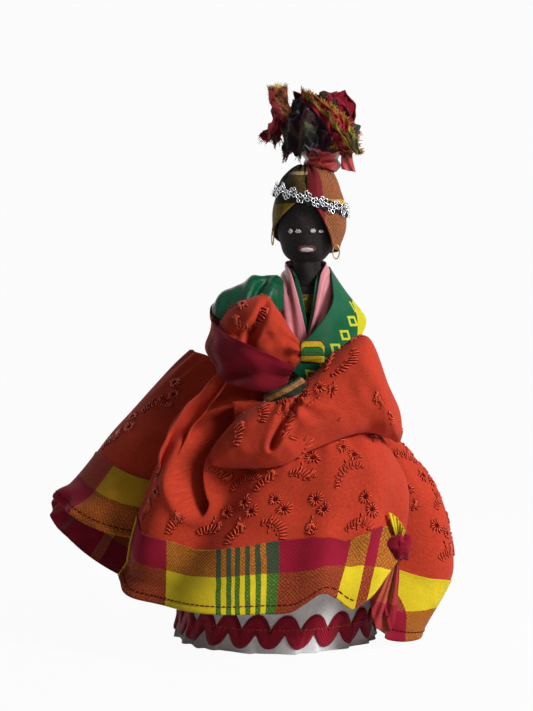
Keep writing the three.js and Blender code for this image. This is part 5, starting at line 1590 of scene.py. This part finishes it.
# rows of fronds and rows of eyelets by turns, the second two of four set aside by half a space
MOTIF_SPACE, MOTIF_RISE, WAIST_MARGIN = 17, 12.8, 14
for side in PANELS:
    cloth = gown[side]["cloth"]
    places = []
    for row, t0 in enumerate(np.arange(BORDER_WIDTH + 9, cloth.t.max() - WAIST_MARGIN, MOTIF_RISE)):
        for s0 in np.arange(18 if row % 4 > 1 else 10, cloth.s.max(), MOTIF_SPACE):
            if t0 < np.interp(s0, cloth.s[0], cloth.t[0]) - WAIST_MARGIN:
                places.append((s0, t0, "eyelet" if row % 2 else "frond"))
    if side == "right":
        places = places[1::3]  # few motifs show on the lifted side
    sewn = embroider(f"gown_{side}", cloth, places, 400 + len(side))
    cloth.sheet("gathered", "petticoat_skirt", *sewn)
    gown[side]["border"].sheet("hung", f"gown_{side}_cloth", *gown[side]["sewing"])

SLEEVE_SPACE, SLEEVE_RISE = 16.5, 13.5
for name, cloth in sleeves.items():
    places = []
    for row, t0 in enumerate(np.arange(20, cloth.t.max() - 22, SLEEVE_RISE)):
        for s0 in np.arange(8 + 7 * (row % 2), cloth.s.max(), SLEEVE_SPACE):
            places.append((s0, t0, "frond" if (row + int(s0)) % 3 else "eyelet"))
    sewn = embroider(name, cloth, places, 500 + len(name))
    cloth.sheet("gathered", name.replace("sleeve", "arm"), *sewn)

petticoat.sheet("gathered", "skirt_form", ricrac.made, sewing)
bodice.sheet("stretched", "torso", waistband.made)

# Floor, light and camera

FLOOR_FRONT, FLOOR_BACK, FLOOR_BEND, FLOOR_HALF, BACKDROP_TOP = -3000, 900, 500, 3500, 3000
CAMERA_AT, AIM_AT, LENS = (-4.2, -850.0, 184.0), (-4.2, 0.0, 137.3), 88.0


def studio_white():
    """A pale floor that shows near white to the camera and keeps the doll's soft shadow."""
    g = Graph("studio_floor")
    vector = g.place()
    base = g.mix(g.noise(vector, 90.0, 2.0), rgb(216, 216, 216), rgb(224, 224, 224))
    pale = g.add("BsdfDiffuse", Color=base)[0]
    white = g.add("Emission", Color=(1, 1, 1, 1), Strength=1.0)[0]
    path = g.add("LightPath")
    seen = g.math("MAXIMUM", path["Is Camera Ray"], path["Is Glossy Ray"])
    seen = g.math("MAXIMUM", seen, path["Is Transmission Ray"])
    shown = g.add("MixShader", _0=g.math("MULTIPLY", seen, 0.95), _1=pale, _2=white)[0]
    g.add("OutputMaterial", Surface=shown)
    return g.owner


def floor_sweep():
    """A floor that curves up into a backdrop behind the doll."""
    bends = np.linspace(0.1, math.pi / 2, 16)
    profile = [(FLOOR_FRONT, 0), (FLOOR_BACK, 0)]
    profile += [(FLOOR_BACK + FLOOR_BEND * math.sin(a), FLOOR_BEND * (1 - math.cos(a))) for a in bends]
    profile += [(FLOOR_BACK + FLOOR_BEND, BACKDROP_TOP)]
    points = [(side * FLOOR_HALF, y, z - 0.02) for y, z in profile for side in (1, -1)]
    index = np.arange(len(points)).reshape(-1, 2)
    return object_of("studio_sweep", points, quads(index).tolist(), studio_white())


floor_sweep()


LAMP_AIM = (0, 0, 0.13)  # metres, like the lamps' places


def facing(place, aim):
    return (Vector(aim) - Vector(place)).to_track_quat("-Z", "Y").to_euler()


def lamp(name, place, size, energy):
    data = bpy.data.lights.new(name, "AREA")
    data.size = size
    data.energy = energy
    made = bpy.data.objects.new(name, data)
    made.location = place
    made.rotation_euler = facing(place, LAMP_AIM)
    bpy.context.collection.objects.link(made)


lamp("key_right", (0.98, -0.6, 0.78), 0.4, 19.0)
lamp("fill_left", (-0.7, -1.2, 0.5), 0.9, 0.35)
lamp("fill_back", (-0.8, 1.2, 0.7), 0.9, 5.0)

WORLD_LIGHT = 0.04  # what the white surroundings add to the lamps
g = Graph("studio", bpy.data.worlds)
path = g.add("LightPath")
seen = g.math("MAXIMUM", path["Is Camera Ray"], path["Is Glossy Ray"])
strength = g.add("MapRange", Value=seen, To_Min=WORLD_LIGHT, To_Max=1.0)["Result"]
g.add("OutputWorld", Surface=g.add("Background", Color=(1, 1, 1, 1), Strength=strength)[0])
bpy.context.scene.world = g.owner

camera = bpy.data.objects.new("camera", bpy.data.cameras.new("camera"))
camera.data.lens = LENS
camera.data.sensor_width = 36.0
camera.location = Vector(CAMERA_AT) * MM
camera.rotation_euler = facing(CAMERA_AT, AIM_AT)
bpy.context.collection.objects.link(camera)
bpy.context.scene.camera = camera
bpy.context.scene.view_settings.view_transform = "Standard"
